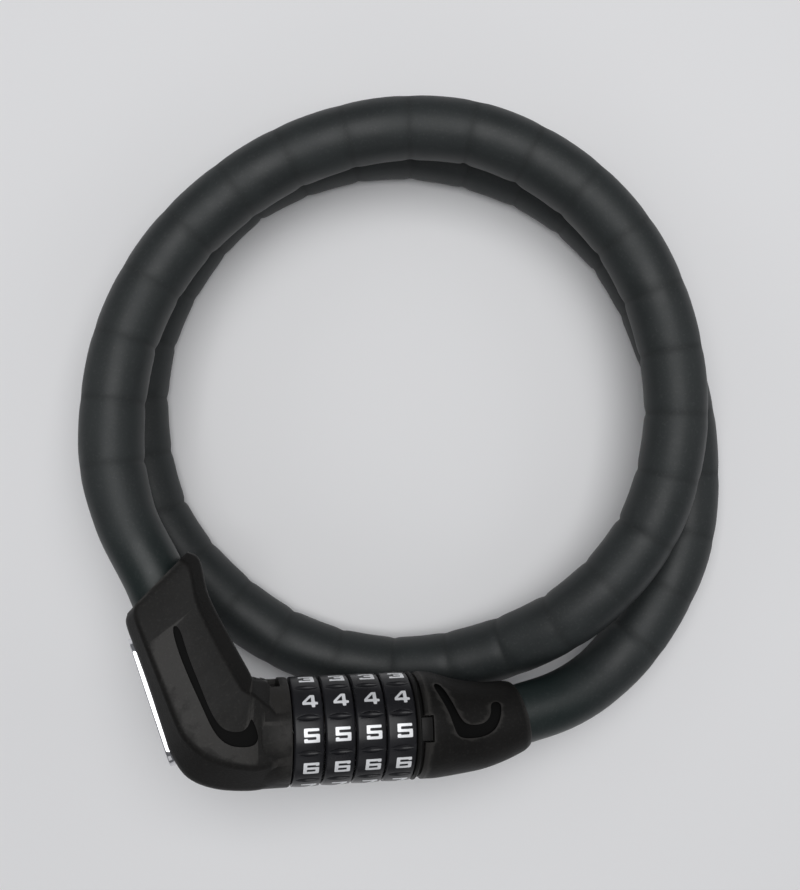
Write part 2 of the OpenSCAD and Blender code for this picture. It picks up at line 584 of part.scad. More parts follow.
// The U-shaped relief: a band that follows the skin.
U_OUT = [[18.6, 9.6], [20.3, 6.1], [21.6, 3.2], [22.4, 0.5], [23.3, -1.8], [24.9, -2.7], [28.6, -2.8],
    [31.2, -2.2], [33.2, -0.8], [34.6, 2], [35, 4.9]];
U_IN = [[32.4, 4.9], [32, 2.2], [30.7, 0.7], [28.8, 0.1], [25.7, 0.4], [24.2, 2.1], [23, 5], [20.8, 9.6]];
module plug_relief_cut() {
    difference() {
        translate([0, 0, 2]) linear_extrude(wheel_r) polygon(concat(U_OUT, U_IN));
        plug_skin(plug_relief);
    }
}
module plug_cover_front() {
    color([0.14, 0.13, 0.13]) on_barrel() difference() {
        plug_skin();
        below(split);
        plug_cavity();
        plug_screw_holes();
        plug_relief_cut();
    }
}
module plug_cover_rear() {
    color([0.12, 0.12, 0.12]) on_barrel() difference() {
        plug_skin();
        above(-split);
        plug_cavity();
        plug_screw_holes();
    }
}
module plug_screws() {
    color([0.6, 0.6, 0.62]) on_barrel() for (p = PLUG_SCREWS) translate([p.x, p.y, -plug_screw_seat]) difference() {
        union() {
            translate([0, 0, -0.5]) cylinder(h = plug_screw_seat + 0.5 + plug_screw_tip, r = plug_screw_r, $fn = 32);
            translate([0, 0, -plug_head_t]) cylinder(h = plug_head_t, r = plug_screw_head, $fn = 32);
        }
        translate([0, 0, -plug_head_t - 1]) cylinder(h = plug_socket_deep + 1, r = 0.7, $fn = 6);
    }
}

// ---- cable --------------------------------------------------------------

module ferrule(flange, body, length, flange_l) {
    difference() {
        union() {
            cylinder(h = flange_l, r = flange, $fn = 64);
            cylinder(h = length, r = body, $fn = 64);
        }
        translate([0, 0, ferrule_floor]) cylinder(h = length, r = rope_r + 0.05, $fn = 48);
    }
}
module elbow_ferrule() {
    color([0.72, 0.7, 0.62]) on_barrel() arm_line() turned(ferrule_at)
        ferrule(flange_r, ferrule_r, ferrule_l, flange_t);
}
module plug_ferrule() {
    color([0.72, 0.7, 0.62]) on_barrel() plug_line() turned(plug_ferrule_at)
        ferrule(plug_flange_r, plug_ferrule_r, plug_ferrule_l, plug_flange_t);
}
module steel_rope() {
    ends = [placed_plan(arm_pt(arm_mouth - seat_l - rope_end, 0)),
            placed_plan(plug_pt(-plug_seat_l - plug_rope_end))];
    first = ring(0, rope_r, ROPE_SIDES);
    final = ring(cable_l, rope_r, ROPE_SIDES);
    rings = concat([[for (p = first) p + ends[0] - joint_at[0]]],
        [for (i = [0:SEGMENTS]) ring(i * segment_l, rope_r, ROPE_SIDES)],
        [[for (p = final) p + ends[1] - joint_at[SEGMENTS]]]);
    n = len(rings);
    color([0.7, 0.7, 0.72]) polyhedron(points = flat(rings), faces = concat(wall(n, ROPE_SIDES, 0, true),
        fan(0, ROPE_SIDES, true), fan((n - 1) * ROPE_SIDES, ROPE_SIDES, false)));
}
armour_gap = 1.7;               // between two shells, so that the cable bends
module armour_shells() {
    color([0.45, 0.46, 0.48]) for (i = [1:SEGMENTS - 2]) {
        way = joint_at[i + 1] - joint_at[i];
        l = norm(way) - armour_gap;
        translate(joint_at[i]) rotate([0, acos(way.z / norm(way)), atan2(way.y, way.x)])
            translate([0, 0, armour_gap / 2]) rotate_extrude($fn = 32)
                polygon([[armour_r - armour_wall, 0], [armour_r - 0.3, 0], [armour_r, 0.6],
                         [armour_r, l - 0.6], [armour_r - 0.3, l], [armour_r - armour_wall, l]]);
    }
}
module cable_sheath() {
    outer = len(skin_rings);
    inner = len(bore_rings);
    first = outer * SIDES;
    color([0.17, 0.19, 0.19]) polyhedron(points = concat(flat(skin_rings), flat(bore_rings)),
        faces = concat(wall(outer, SIDES, 0, true), wall(inner, SIDES, first, false),
            rim(0, first, SIDES, true), rim((outer - 1) * SIDES, first + (inner - 1) * SIDES, SIDES, false)));
}

elbow_cover_front();
elbow_cover_rear();
elbow_screws();
badge_bezel();
badge_plate();
barrel_sleeve();
detent_leaf();
wave_washer();
thrust_washer();
index_ring();
retaining_ring();
number_wheel_1();
number_wheel_2();
number_wheel_3();
number_wheel_4();
code_ring_1();
code_ring_2();
code_ring_3();
code_ring_4();
code_slider();
locking_bolt();
bolt_pin();
plug_insert();
plug_cover_front();
plug_cover_rear();
plug_screws();
plug_ferrule();
elbow_ferrule();
steel_rope();
armour_shells();
cable_sheath();
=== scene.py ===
"""Armoured cable lock: its looks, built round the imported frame.

The lock's pieces are modelled in millimetres in the barrel's own frame: X runs along the barrel to the plug, Z
points out at the index and Y at the coil. set_in_lock() then puts a piece into the part's frame, in metres.
"""

import bisect
import math
import random

import bpy
from bpy.props import FloatProperty, FloatVectorProperty, IntProperty, PointerProperty
from mathutils import Matrix, Vector


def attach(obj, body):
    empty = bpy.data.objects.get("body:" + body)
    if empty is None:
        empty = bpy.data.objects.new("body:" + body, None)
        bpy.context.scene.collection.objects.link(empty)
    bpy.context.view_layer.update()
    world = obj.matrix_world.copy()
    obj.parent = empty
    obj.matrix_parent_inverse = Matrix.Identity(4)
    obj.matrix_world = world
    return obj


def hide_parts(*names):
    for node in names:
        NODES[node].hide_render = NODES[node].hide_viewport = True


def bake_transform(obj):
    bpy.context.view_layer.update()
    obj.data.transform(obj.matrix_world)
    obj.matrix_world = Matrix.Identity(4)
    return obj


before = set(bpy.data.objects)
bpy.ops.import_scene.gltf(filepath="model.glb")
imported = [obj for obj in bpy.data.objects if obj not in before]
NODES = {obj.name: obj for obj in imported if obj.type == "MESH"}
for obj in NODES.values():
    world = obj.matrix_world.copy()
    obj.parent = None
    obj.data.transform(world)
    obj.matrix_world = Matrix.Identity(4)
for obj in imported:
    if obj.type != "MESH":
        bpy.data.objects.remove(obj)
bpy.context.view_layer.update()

bl_info = {
    "name": "Armoured cable lock",
    "version": (1, 0, 0),
    "blender": (4, 5, 0),
    "location": "View3D > Sidebar > Cable lock",
    "description": "Builds a coiled armoured cable lock with four number wheels",
    "category": "Add Mesh",
}

MM = 0.001
WHEELS = 4
DIGITS = 10

# ---- sizes shared by the pieces, in millimetres ----------------------------

WHEEL_R = 12.4
WHEEL_PITCH = 7.0
WHEEL_W = 6.7
STACK_HALF = WHEELS * WHEEL_PITCH / 2 + 0.1
SLEEVE_R = 6.2
RING_R = 8.7
RIB_R = 0.7
SLOT_W = 2.3
TOOTH_R = 7.5
SLEEVE_START = -STACK_HALF - 12.3
SLEEVE_FLANGE_R = 9.5
SLEEVE_FLANGE_T = 2.8
WASHER_ROOM = 3.2
INDEX_T = 1.5
INDEX_END = STACK_HALF + INDEX_T
TAB_L = 1.8
TAB_HALF = 2.6
TAB_SINK = 2.9
TAB_CLEAR = 0.4
CLIP_RIM = 1.7
PLUG_START = INDEX_END + 0.3
INSERT_START = PLUG_START + 3
INSERT_L = 6.5
INSERT_R = 8
NECK_R = WHEEL_R - 0.1
NECK_L = 7.4
PIVOT_X = -STACK_HALF - 15
ARM_LEAN = math.radians(22)
ARM_HALF = 9.6
ARM_MOUTH = 37
SEAT_L = 15
CABLE_BORE = 7.3
CORNER_HALF = 12.3
PLUG_TURN = math.radians(13)
PLUG_MOUTH = (STACK_HALF + 27.6, 1.0)
PLUG_SEAT_L = 9
PLUG_LEAD = 6
MOUTH_R = CABLE_BORE + 0.8
PIECE_CLEAR = 0.15
END_CLEAR = 0.2
SEAT_GAP = 0.1
FLANGE_R = 7.6
FLANGE_T = 2.4
FERRULE_R = 5.6
FERRULE_AT = SLEEVE_FLANGE_R + 0.5
FERRULE_L = ARM_MOUTH - SEAT_L - END_CLEAR - FERRULE_AT
PLUG_FLANGE_R = 6.2
PLUG_FLANGE_T = 2
PLUG_FERRULE_R = 5.3
PLUG_FERRULE_L = 5.6
PLUG_FERRULE_AT = -PLUG_SEAT_L - END_CLEAR - PLUG_FERRULE_L
SPLIT = 0.08
BADGE_SINK = 0.9
BEZEL_W = 0.9
BEZEL_RISE = 0.7
PLATE_RISE = 0.25
SLIDER_X = -STACK_HALF - 8.2
SLIDER_Z = 1.5
SLIDER_L = 3.3
SLIDER_HALF = 4.6
SLIDER_TRAVEL = 2.6
SLIDER_FLOOR = NECK_R - 2
LUG_R = RING_R + 0.4
LUG_AT = 0.9
LUG_L = 1.3
LUG_HALF = 1
TRACK_CLEAR = 0.2
BUTTON_T = 1.75
RIB_COUNT = 3
RIB_FIRST = 0.75
RIB_STEP = 0.9
RIB_HALF = 0.2
GRIP_L = WHEEL_W - 0.8
GRIP_W = 1.6
GRIP_STEPS = 16
CROWN = 0.15
SHOULDER_W = 0.35
SHOULDER_H = 0.55

BARREL_AT = Vector((-12.2, -79.8, 29.8))
BARREL_SLOPE = math.radians(12.5)
BARREL_ROLL = math.radians(9)
IN_BARREL = (
    Matrix.Translation(BARREL_AT) @ Matrix.Rotation(BARREL_SLOPE, 4, "Y") @ Matrix.Rotation(-BARREL_ROLL, 4, "X")
)
IN_PART = Matrix.Scale(MM, 4) @ IN_BARREL
ON_ARM = Matrix.Translation((PIVOT_X, 0, 0)) @ Matrix.Rotation(math.pi / 2 + ARM_LEAN, 4, "Z")
ON_PLUG = Matrix.Translation((*PLUG_MOUTH, 0)) @ Matrix.Rotation(PLUG_TURN, 4, "Z")


def wheel_x(number):
    """Middle of a number wheel along the barrel; wheel 1 is beside the elbow."""
    return (number - (WHEELS + 1) / 2) * WHEEL_PITCH


def arm_point(along, across):
    """A point of the elbow's arm: along its axis, and across it towards the spine."""
    s, c = math.sin(ARM_LEAN), math.cos(ARM_LEAN)
    return Vector((PIVOT_X - along * s - across * c, along * c - across * s, 0))


def plug_point(along):
    """A point of the plug's mouth axis."""
    return Vector((PLUG_MOUTH[0] + along * math.cos(PLUG_TURN), PLUG_MOUTH[1] + along * math.sin(PLUG_TURN), 0))


# ---- settings --------------------------------------------------------------


def a_length(name, text, default):
    return FloatProperty(name=name, description=text, default=default, unit="LENGTH", precision=5)


def a_colour(name, text, default):
    return FloatVectorProperty(name=name, description=text, default=default, subtype="COLOR", size=3)


def a_level(name, text, default):
    return FloatProperty(name=name, description=text, default=default, min=0)


class CableSettings(bpy.types.PropertyGroup):
    diameter: a_length("Diameter", "Outside diameter of the sheath", 0.015)
    end_diameter: a_length("End diameter", "Diameter of the smooth ends that enter the housings", 0.0142)
    segment: a_length("Segment", "Length of one armour segment", 0.0148)
    crease: a_length("Crease", "Depth of the crease between segments", 0.00032)
    sides: IntProperty(name="Sides", description="Points round the sheath", default=48, min=16, max=96)
    colour: a_colour("Colour", "Sheath's colour", (0.016, 0.0195, 0.020))
    end_colour: a_colour("End colour", "Colour beside the housings", (0.007, 0.013, 0.0125))


class HousingSettings(bpy.types.PropertyGroup):
    relief: a_length("Relief", "Depth of the elbow's hook-shaped relief", 0.0008)
    plug_relief: a_length("Plug relief", "Depth of the plug's U-shaped relief", 0.0006)
    edge: a_length("Edge", "Width of the broken edges", 0.00016)
    colour: a_colour("Colour", "Soft-touch plastic", (0.0078, 0.0074, 0.0070))
    badge_length: a_length("Badge length", "Length of the oval badge", 0.030)
    badge_width: a_length("Badge width", "Width of the oval badge", 0.0084)


class WheelSettings(bpy.types.PropertyGroup):
    grip: a_length("Grip depth", "Depth of the grips between digits", 0.00055)
    digit_width: a_length("Digit width", "Width of a digit", 0.0035)
    digit_height: a_length("Digit height", "Height of a digit", 0.0031)
    colour: a_colour("Colour", "Polished wheel plastic", (0.012, 0.012, 0.014))
    print_colour: a_colour("Print", "Silver of the digits", (0.80, 0.81, 0.83))


class StageSettings(bpy.types.PropertyGroup):
    floor: a_colour("Floor", "Colour of the floor", (0.86, 0.86, 0.87))
    lamp: a_level("Lamp", "Power of the overhead lamp in watts", 3.9)
    side_lamp: a_level("Side lamps", "Power of each side lamp in watts", 0.4)
    sky: a_level("Sky", "Strength of the surroundings", 0.17)


# ---- making tools ----------------------------------------------------------

SMOOTH_ANGLE = math.radians(34)
ROUND_STEPS = 4
ROUND_LIMIT = 0.46  # share of a side that one corner's rounding may take
FLOW_ROUNDS = 3
FAR_BELOW = -20


def clear_selection():
    """Leaves edit mode with nothing selected."""
    if bpy.context.object is not None and bpy.context.object.mode != "OBJECT":
        bpy.ops.object.mode_set(mode="OBJECT")
    bpy.ops.object.select_all(action="DESELECT")


def take(piece):
    """Makes one piece the only selected and active one."""
    clear_selection()
    piece.select_set(True)
    bpy.context.view_layer.objects.active = piece
    return piece


def edit(piece):
    """Opens a piece for editing, all of it selected."""
    take(piece)
    bpy.ops.object.mode_set(mode="EDIT")
    bpy.ops.mesh.select_all(action="SELECT")


def close_edit():
    bpy.ops.object.mode_set(mode="OBJECT")


def started(name):
    """Names the primitive that was just added."""
    piece = bpy.context.object
    piece.name = name
    piece.data.name = name
    return piece


def linked(name, data):
    """Puts a new object round some data into the scene."""
    piece = bpy.data.objects.new(name, data)
    bpy.context.scene.collection.objects.link(piece)
    return piece


def apply_place(piece):
    take(piece)
    bpy.ops.object.transform_apply(location=True, rotation=True, scale=True)
    return piece


def moved(piece, matrix):
    """Moves a piece by a matrix and keeps the move in its mesh."""
    piece.matrix_world = matrix @ piece.matrix_world
    return apply_place(piece)


def finish_with(piece, kind, **settings):
    """Adds one modifier and applies it."""
    take(piece)
    modifier = piece.modifiers.new(kind.title(), kind)
    for key, value in settings.items():
        setattr(modifier, key, value)
    bpy.ops.object.modifier_apply(modifier=modifier.name)
    return piece


def combine(piece, tool, operation):
    """Boolean of a piece with a tool, which is thrown away."""
    finish_with(piece, "BOOLEAN", object=tool, operation=operation, solver="EXACT")
    bpy.data.objects.remove(tool)
    return piece


def cut(piece, *tools):
    for tool in tools:
        combine(piece, tool, "DIFFERENCE")
    return piece


def clean(piece, distance=1e-4):
    """Merges doubles, drops loose edges and turns the faces outwards."""
    edit(piece)
    bpy.ops.mesh.remove_doubles(threshold=distance)
    bpy.ops.mesh.delete_loose()
    bpy.ops.mesh.select_all(action="SELECT")
    bpy.ops.mesh.normals_make_consistent(inside=False)
    close_edit()
    return piece


def copied(piece, name, matrix):
    """A copy with its own mesh, moved by a matrix."""
    other = piece.copy()
    other.data = piece.data.copy()
    other.name = other.data.name = name
    other.data.transform(matrix)
    bpy.context.scene.collection.objects.link(other)
    return other


def joined(name, pieces):
    """Joins pieces into the first."""
    take(pieces[0])
    for piece in pieces[1:]:
        piece.select_set(True)
    bpy.ops.object.join()
    return started(name)


def rod(name, radius, start, end, frame_matrix=None, sides=96):
    """A round bar along X."""
    clear_selection()
    bpy.ops.mesh.primitive_cylinder_add(
        vertices=sides,
        radius=radius,
        depth=end - start,
        location=((start + end) / 2, 0, 0),
        rotation=(0, math.pi / 2, 0),
    )
    return moved(started(name), frame_matrix or Matrix.Identity(4))


def upright_rod(name, radius, at, low, high):
    """A round bar along Z."""
    clear_selection()
    bpy.ops.mesh.primitive_cylinder_add(
        vertices=48, radius=radius, depth=high - low, location=(*at, (low + high) / 2)
    )
    return apply_place(started(name))


def bore_screws(piece, places, shaft, tip, head, seat):
    """Bores the ways of the screws, which come from below."""
    for at in places:
        cut(
            piece,
            upright_rod("screw_bore", shaft, at, FAR_BELOW, tip),
            upright_rod("head_bore", head, at, FAR_BELOW, -seat),
        )


def block(name, low, high):
    """A block between two corners."""
    clear_selection()
    low, high = Vector(low), Vector(high)
    bpy.ops.mesh.primitive_cube_add(size=1, location=(low + high) / 2)
    piece = started(name)
    piece.scale = high - low
    return apply_place(piece)


def turned(name, profile, sides):
    """Spins a closed profile of (along, radius) points round X."""
    clear_selection()
    bpy.ops.mesh.primitive_circle_add(vertices=len(profile), radius=1)
    piece = started(name)
    for vertex, (along, radius) in zip(piece.data.vertices, profile):
        vertex.co = (along, 0, radius)
    edit(piece)
    bpy.ops.mesh.spin(steps=sides, angle=2 * math.pi, center=(0, 0, 0), axis=(1, 0, 0))
    close_edit()
    return apply_place(clean(piece))


def prism(name, outline, low, high):
    """A flat outline raised from low to high."""
    clear_selection()
    bpy.ops.mesh.primitive_circle_add(vertices=len(outline), radius=1, fill_type="NGON")
    piece = started(name)
    for vertex, point in zip(piece.data.vertices, outline):
        vertex.co = (point[0], point[1], low)
    edit(piece)
    bpy.ops.mesh.extrude_region_move(TRANSFORM_OT_translate={"value": (0, 0, high - low)})
    close_edit()
    return clean(piece)


def skinned(name, rings):
    """Rolls a grid up into a closed skin over rings of points."""
    clear_selection()
    across = len(rings[0])
    bpy.ops.mesh.primitive_grid_add(x_subdivisions=across, y_subdivisions=len(rings) - 1, size=2)
    piece = started(name)
    points = [point for ring in rings for point in (*ring, ring[0])]
    if len(points) != len(piece.data.vertices):
        raise RuntimeError(f"{name}: the grid has {len(piece.data.vertices)} points, not {len(points)}")
    for vertex, point in zip(piece.data.vertices, points):
        vertex.co = point
    edit(piece)
    bpy.ops.mesh.remove_doubles(threshold=1e-4)
    bpy.ops.mesh.select_all(action="DESELECT")
    bpy.ops.mesh.select_mode(type="VERT")
    bpy.ops.mesh.select_non_manifold()
    bpy.ops.mesh.fill_holes(sides=0)
    bpy.ops.mesh.select_all(action="SELECT")
    bpy.ops.mesh.normals_make_consistent(inside=False)
    close_edit()
    return piece


def halve(piece, height, keep_above):
    """Keeps what lies above or below a level plane, and closes the cut."""
    edit(piece)
    bpy.ops.mesh.bisect(
        plane_co=(0, 0, height),
        plane_no=(0, 0, 1),
        use_fill=True,
        clear_inner=keep_above,
        clear_outer=not keep_above,
        threshold=1e-5,
    )
    close_edit()
    return piece


def softened(piece, width, angle=30, segments=2):
    """Breaks the edges and smooths what is round."""
    if width:
        finish_with(
            piece,
            "BEVEL",
            width=width,
            segments=segments,
            limit_method="ANGLE",
            angle_limit=math.radians(angle),
            use_clamp_overlap=True,
            miter_outer="MITER_ARC",
        )
    take(piece)
    bpy.ops.object.shade_smooth_by_angle(angle=SMOOTH_ANGLE)
    return piece


def spline(values, parts, before=None, after=None):
    """Catmull-Rom points through a list of vectors; the posts before and after it can be given."""
    ends = [before or 2 * values[0] - values[1], *values, after or 2 * values[-1] - values[-2]]
    line = []
    for a, b, c, d in zip(ends, ends[1:], ends[2:], ends[3:]):
        for k in range(parts):
            t = k / parts
            line.append(
                0.5 * (2 * b + (c - a) * t + (2 * a - 5 * b + 4 * c - d) * t * t + (3 * b - a - 3 * c + d) * t**3)
            )
    return [*line, values[-1]]


def rounded(points, radius):
    """Rounds the corners of an outline."""
    made = []
    count = len(points)
    for i, corner in enumerate(points):
        before, after = points[i - 1], points[(i + 1) % count]
        to_before, to_after = before - corner, after - corner
        size = radius[i] if isinstance(radius, (list, tuple)) else radius
        reach = min(size, ROUND_LIMIT * to_before.length, ROUND_LIMIT * to_after.length)
        a = corner + to_before.normalized() * reach
        b = corner + to_after.normalized() * reach
        for k in range(ROUND_STEPS + 1):
            t = k / ROUND_STEPS
            made.append((1 - t) ** 2 * a + 2 * t * (1 - t) * corner + t * t * b)
    return made


def flowing(points):
    """Chaikin's corner cutting on a closed outline."""
    line = [Vector(p) for p in points]
    for _ in range(FLOW_ROUNDS):
        line = [q for a, b in zip(line, line[1:] + line[:1]) for q in (0.75 * a + 0.25 * b, 0.25 * a + 0.75 * b)]
    return line


def engrave(piece, tool, finish):
    """Cuts a tool out of a painted piece; the cut's walls and floor take a finish of their own, a darker colour
    that is painted shade in the recess.
    """
    piece.data.materials.append(finish_named(finish))
    tool.data.materials.clear()
    for material in piece.data.materials:
        tool.data.materials.append(material)
    for polygon in tool.data.polygons:
        polygon.material_index = len(piece.data.materials) - 1
    finish_with(piece, "BOOLEAN", object=tool, operation="DIFFERENCE", solver="EXACT", material_mode="INDEX")
    bpy.data.objects.remove(tool)
    return piece


def set_in_lock(piece, body, material, slot, *replaced):
    """Places a finished piece in the part, paints it unless it is painted, and makes it ride."""
    moved(piece, IN_PART)
    if material is not None:
        dress(piece, material)
    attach(piece, body)
    if replaced:
        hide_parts(*replaced)
    return piece


def dress(piece, material):
    piece.data.materials.clear()
    piece.data.materials.append(material)


def make_covers(name, front, relief, body, edge):
    """Splits a bored housing into a front cover, with the relief, and a rear cover."""
    dress(front, finish_named("soft_touch"))
    rear = copied(front, f"{name}_rear", Matrix.Identity(4))
    front.name = front.data.name = f"{name}_front"
    # The relief's recess gets a darker colour: painted shade.
    engrave(front, relief, "relief_painted_shade")
    halve(front, SPLIT, True)
    halve(rear, -SPLIT, False)
    for piece, node in ((front, f"{name}_cover_front"), (rear, f"{name}_cover_rear")):
        clean(piece, 1e-3)
        softened(piece, edge, angle=32)
        finish_with(piece, "WEIGHTED_NORMAL", keep_sharp=True)
        set_in_lock(piece, body, None, "housing", node)


# ---- materials -------------------------------------------------------------


class Net:
    """A node tree with short ways to add its nodes and link them."""

    def __init__(self, tree):
        self.tree = tree

    def fill(self, made, **given):
        """Sets a node's properties and inputs; a socket is linked to the input."""
        for key, value in given.items():
            if key in made.bl_rna.properties:
                setattr(made, key, value)
            elif isinstance(value, bpy.types.NodeSocket):
                self.tree.links.new(value, made.inputs[key.replace("_", " ")])
            else:
                made.inputs[key.replace("_", " ")].default_value = value
        return made

    def node(self, kind, **given):
        return self.fill(self.tree.nodes.new("ShaderNode" + kind), **given)

    def maths(self, operation, *values):
        made = self.node("Math", operation=operation)
        for socket, value in zip(made.inputs, values):
            if isinstance(value, bpy.types.NodeSocket):
                self.tree.links.new(value, socket)
            else:
                socket.default_value = value
        return made.outputs[0]

    def plus(self, first, second):
        return self.maths("ADD", first, second)

    def times(self, first, second):
        return self.maths("MULTIPLY", first, second)

    def ranged(self, value, low, high, to_low=0.0, to_high=1.0):
        made = self.node("MapRange", interpolation_type="SMOOTHSTEP", Value=value)
        return self.fill(made, From_Min=low, From_Max=high, To_Min=to_low, To_Max=to_high).outputs["Result"]

    def noise(self, vector, scale, detail=2.0, roughness=0.5):
        return self.node("TexNoise", Vector=vector, Scale=scale, Detail=detail, Roughness=roughness).outputs["Fac"]

    def mixed(self, share, first, second):
        """Mixes two colours by a mask; each is a colour or a socket."""
        made = self.node("Mix", data_type="RGBA")
        self.tree.links.new(share, made.inputs[0])
        for index, value in ((6, first), (7, second)):
            if isinstance(value, bpy.types.NodeSocket):
                self.tree.links.new(value, made.inputs[index])
            else:
                made.inputs[index].default_value = (*value, 1)
        return made.outputs[2]

    def effect(self, name, vector, **values):
        """Places one of the shared groups and gives its outputs."""
        if name not in GROUPS:
            GROUPS[name] = EFFECTS[name]()
        return self.node("Group", node_tree=GROUPS[name], Vector=vector, **values).outputs


def new_group(name, outputs, **inputs):
    """An empty shader node group; its inputs are a vector and named values, its outputs are values."""
    tree = bpy.data.node_groups.new(name, "ShaderNodeTree")
    tree.interface.new_socket("Vector", in_out="INPUT", socket_type="NodeSocketVector")
    for label, value in inputs.items():
        tree.interface.new_socket(label, in_out="INPUT", socket_type="NodeSocketFloat").default_value = value
    for label in outputs:
        tree.interface.new_socket(label, in_out="OUTPUT", socket_type="NodeSocketFloat")
    return Net(tree), tree.nodes.new("NodeGroupInput").outputs, tree.nodes.new("NodeGroupOutput")


def grain_group():
    """Fine spark-eroded grain of a moulded surface."""
    net, given, out = new_group("Moulded grain", ("Height", "Fleck"), Scale=3000.0)
    cells = net.node("TexVoronoi", feature="SMOOTH_F1", Vector=given["Vector"], Scale=given["Scale"])
    fine = net.noise(given["Vector"], net.times(given["Scale"], 0.6), 3)
    height = net.plus(net.times(cells.outputs["Distance"], 0.6), fine)
    return net.fill(out, Height=height, Fleck=net.ranged(fine, 0.56, 0.72)).id_data


def wear_group():
    """Mask of the rubbed edges."""
    net, given, out = new_group("Edge wear", ("Mask",), Start=0.53, Reach=0.06)
    past = net.maths("SUBTRACT", net.node("NewGeometry").outputs["Pointiness"], given["Start"])
    patchy = net.ranged(net.noise(given["Vector"], 260, 4, 0.6), 0.35, 0.65, 0.25, 1.0)
    mask = net.times(net.maths("DIVIDE", past, given["Reach"]), patchy)
    mask.node.use_clamp = True
    return net.fill(out, Mask=mask).id_data


def handling_group():
    """Cloudy marks of handling and a few fine scratches."""
    net, given, out = new_group("Handling marks", ("Cloud", "Scratch"))
    stretch = net.node("Mapping", Vector=given["Vector"], Scale=(60, 1500, 900), Rotation=(0.2, 0.4, 0.7))
    cloud = net.ranged(net.noise(given["Vector"], 70, 5, 0.62), 0.36, 0.66)
    return net.fill(out, Cloud=cloud, Scratch=net.ranged(net.noise(stretch.outputs[0], 1.0), 0.68, 0.78)).id_data


def dust_group():
    """A little dust where a surface faces up."""
    net, given, out = new_group("Dust", ("Mask",), Amount=0.1)
    parts = net.node("SeparateXYZ", Vector=net.node("NewGeometry").outputs["Normal"])
    specks = net.ranged(net.noise(given["Vector"], 1500, 5, 0.7), 0.5, 0.75)
    mask = net.times(specks, net.ranged(parts.outputs["Z"], 0.2, 0.95))
    return net.fill(out, Mask=net.times(mask, given["Amount"])).id_data


GROUPS = {}
EFFECTS = {"grain": grain_group, "wear": wear_group, "handling": handling_group, "dust": dust_group}


def lifted(colour, gain):
    return tuple(min(1.0, c * gain) for c in colour)


def new_material(name):
    """A material with its net, its shader and its coordinates."""
    material = bpy.data.materials.new(name)
    material.use_nodes = True
    net = Net(material.node_tree)
    return material, net, net.tree.nodes["Principled BSDF"], net.node("TexCoord").outputs


def surface(name, colour, roughness, grain=0.0, grain_scale=3000, wear=None, dust=0.0, cloud=0.08, **sockets):
    """A finish: colour and roughness that change over the surface, grain, worn edges, marks and dust."""
    material, net, shader, place = new_material(name)
    place = place["Object"]
    marks = net.effect("handling", place)
    base = net.mixed(marks["Cloud"], lifted(colour, 0.88), lifted(colour, 1.14))
    rough = net.plus(roughness - cloud / 2, net.times(marks["Cloud"], cloud))
    rough = net.plus(rough, net.times(marks["Scratch"], -0.06))
    if grain:
        texture = net.effect("grain", place, Scale=grain_scale)
        base = net.mixed(net.times(texture["Fleck"], 0.5), base, lifted(colour, 1.7))
        bump = net.node("Bump", Strength=grain, Distance=0.00012, Height=texture["Height"])
        net.fill(shader, Normal=bump.outputs["Normal"])
    if wear:
        edges = net.effect("wear", place, Start=0.52, Reach=0.09)["Mask"]
        base = net.mixed(net.times(edges, 0.6), base, wear)
        rough = net.plus(rough, net.times(edges, -0.1))
    if dust:
        base = net.mixed(net.effect("dust", place, Amount=dust)["Mask"], base, (0.34, 0.33, 0.31))
    net.fill(shader, Base_Color=base, Roughness=rough, **sockets)
    return material


def brushed(name, colour, roughness, lines=(2600, 60, 2600), depth=0.05):
    """A metal with fine tool lines."""
    material = surface(name, colour, roughness, cloud=0.12, Metallic=1.0)
    net = Net(material.node_tree)
    stretch = net.node("Mapping", Vector=net.node("TexCoord").outputs["Object"], Scale=lines)
    height = net.noise(stretch.outputs[0], 1.0, 3, 0.6)
    bump = net.node("Bump", Strength=depth, Distance=0.0001, Height=height)
    net.fill(net.tree.nodes["Principled BSDF"], Normal=bump.outputs["Normal"])
    return material


def sheath_material(settings):
    """Satin PVC, with painted shade darkening the creases, and darker beside the housings."""
    material, net, shader, place = new_material("Satin sheath")
    cloud = net.effect("handling", place["Object"])["Cloud"]
    crease = net.node("Attribute", attribute_name="crease").outputs["Fac"]
    ends = net.node("Attribute", attribute_name="near_housing").outputs["Fac"]
    colour = tuple(settings.colour)
    base = net.mixed(cloud, lifted(colour, 0.90), lifted(colour, 1.10))
    # Painted shade: the creases between segments are darkened in colour.
    base = net.mixed(net.times(crease, 0.45), base, lifted(colour, 0.55))
    base = net.mixed(ends, base, tuple(settings.end_colour))
    base = net.mixed(net.effect("dust", place["Object"], Amount=0.05)["Mask"], base, (0.30, 0.30, 0.29))
    stretch = net.node("Mapping", Vector=place["UV"], Scale=(2.0, 260.0, 1.0))
    height = net.plus(net.times(net.noise(stretch.outputs[0], 1.0), 0.35), net.noise(place["Object"], 700))
    bump = net.node("Bump", Strength=0.10, Distance=0.0002, Height=height)
    rough = net.plus(0.48, net.times(cloud, 0.09))
    rough = net.plus(rough, net.times(crease, 0.08))
    rough = net.plus(rough, net.times(ends, -0.06))
    net.fill(shader, Base_Color=base, Roughness=rough, Normal=bump.outputs["Normal"])
    net.fill(shader, Specular_IOR_Level=0.4, Coat_Weight=0.03, Coat_Roughness=0.35)
    return material


FINISHES = {}


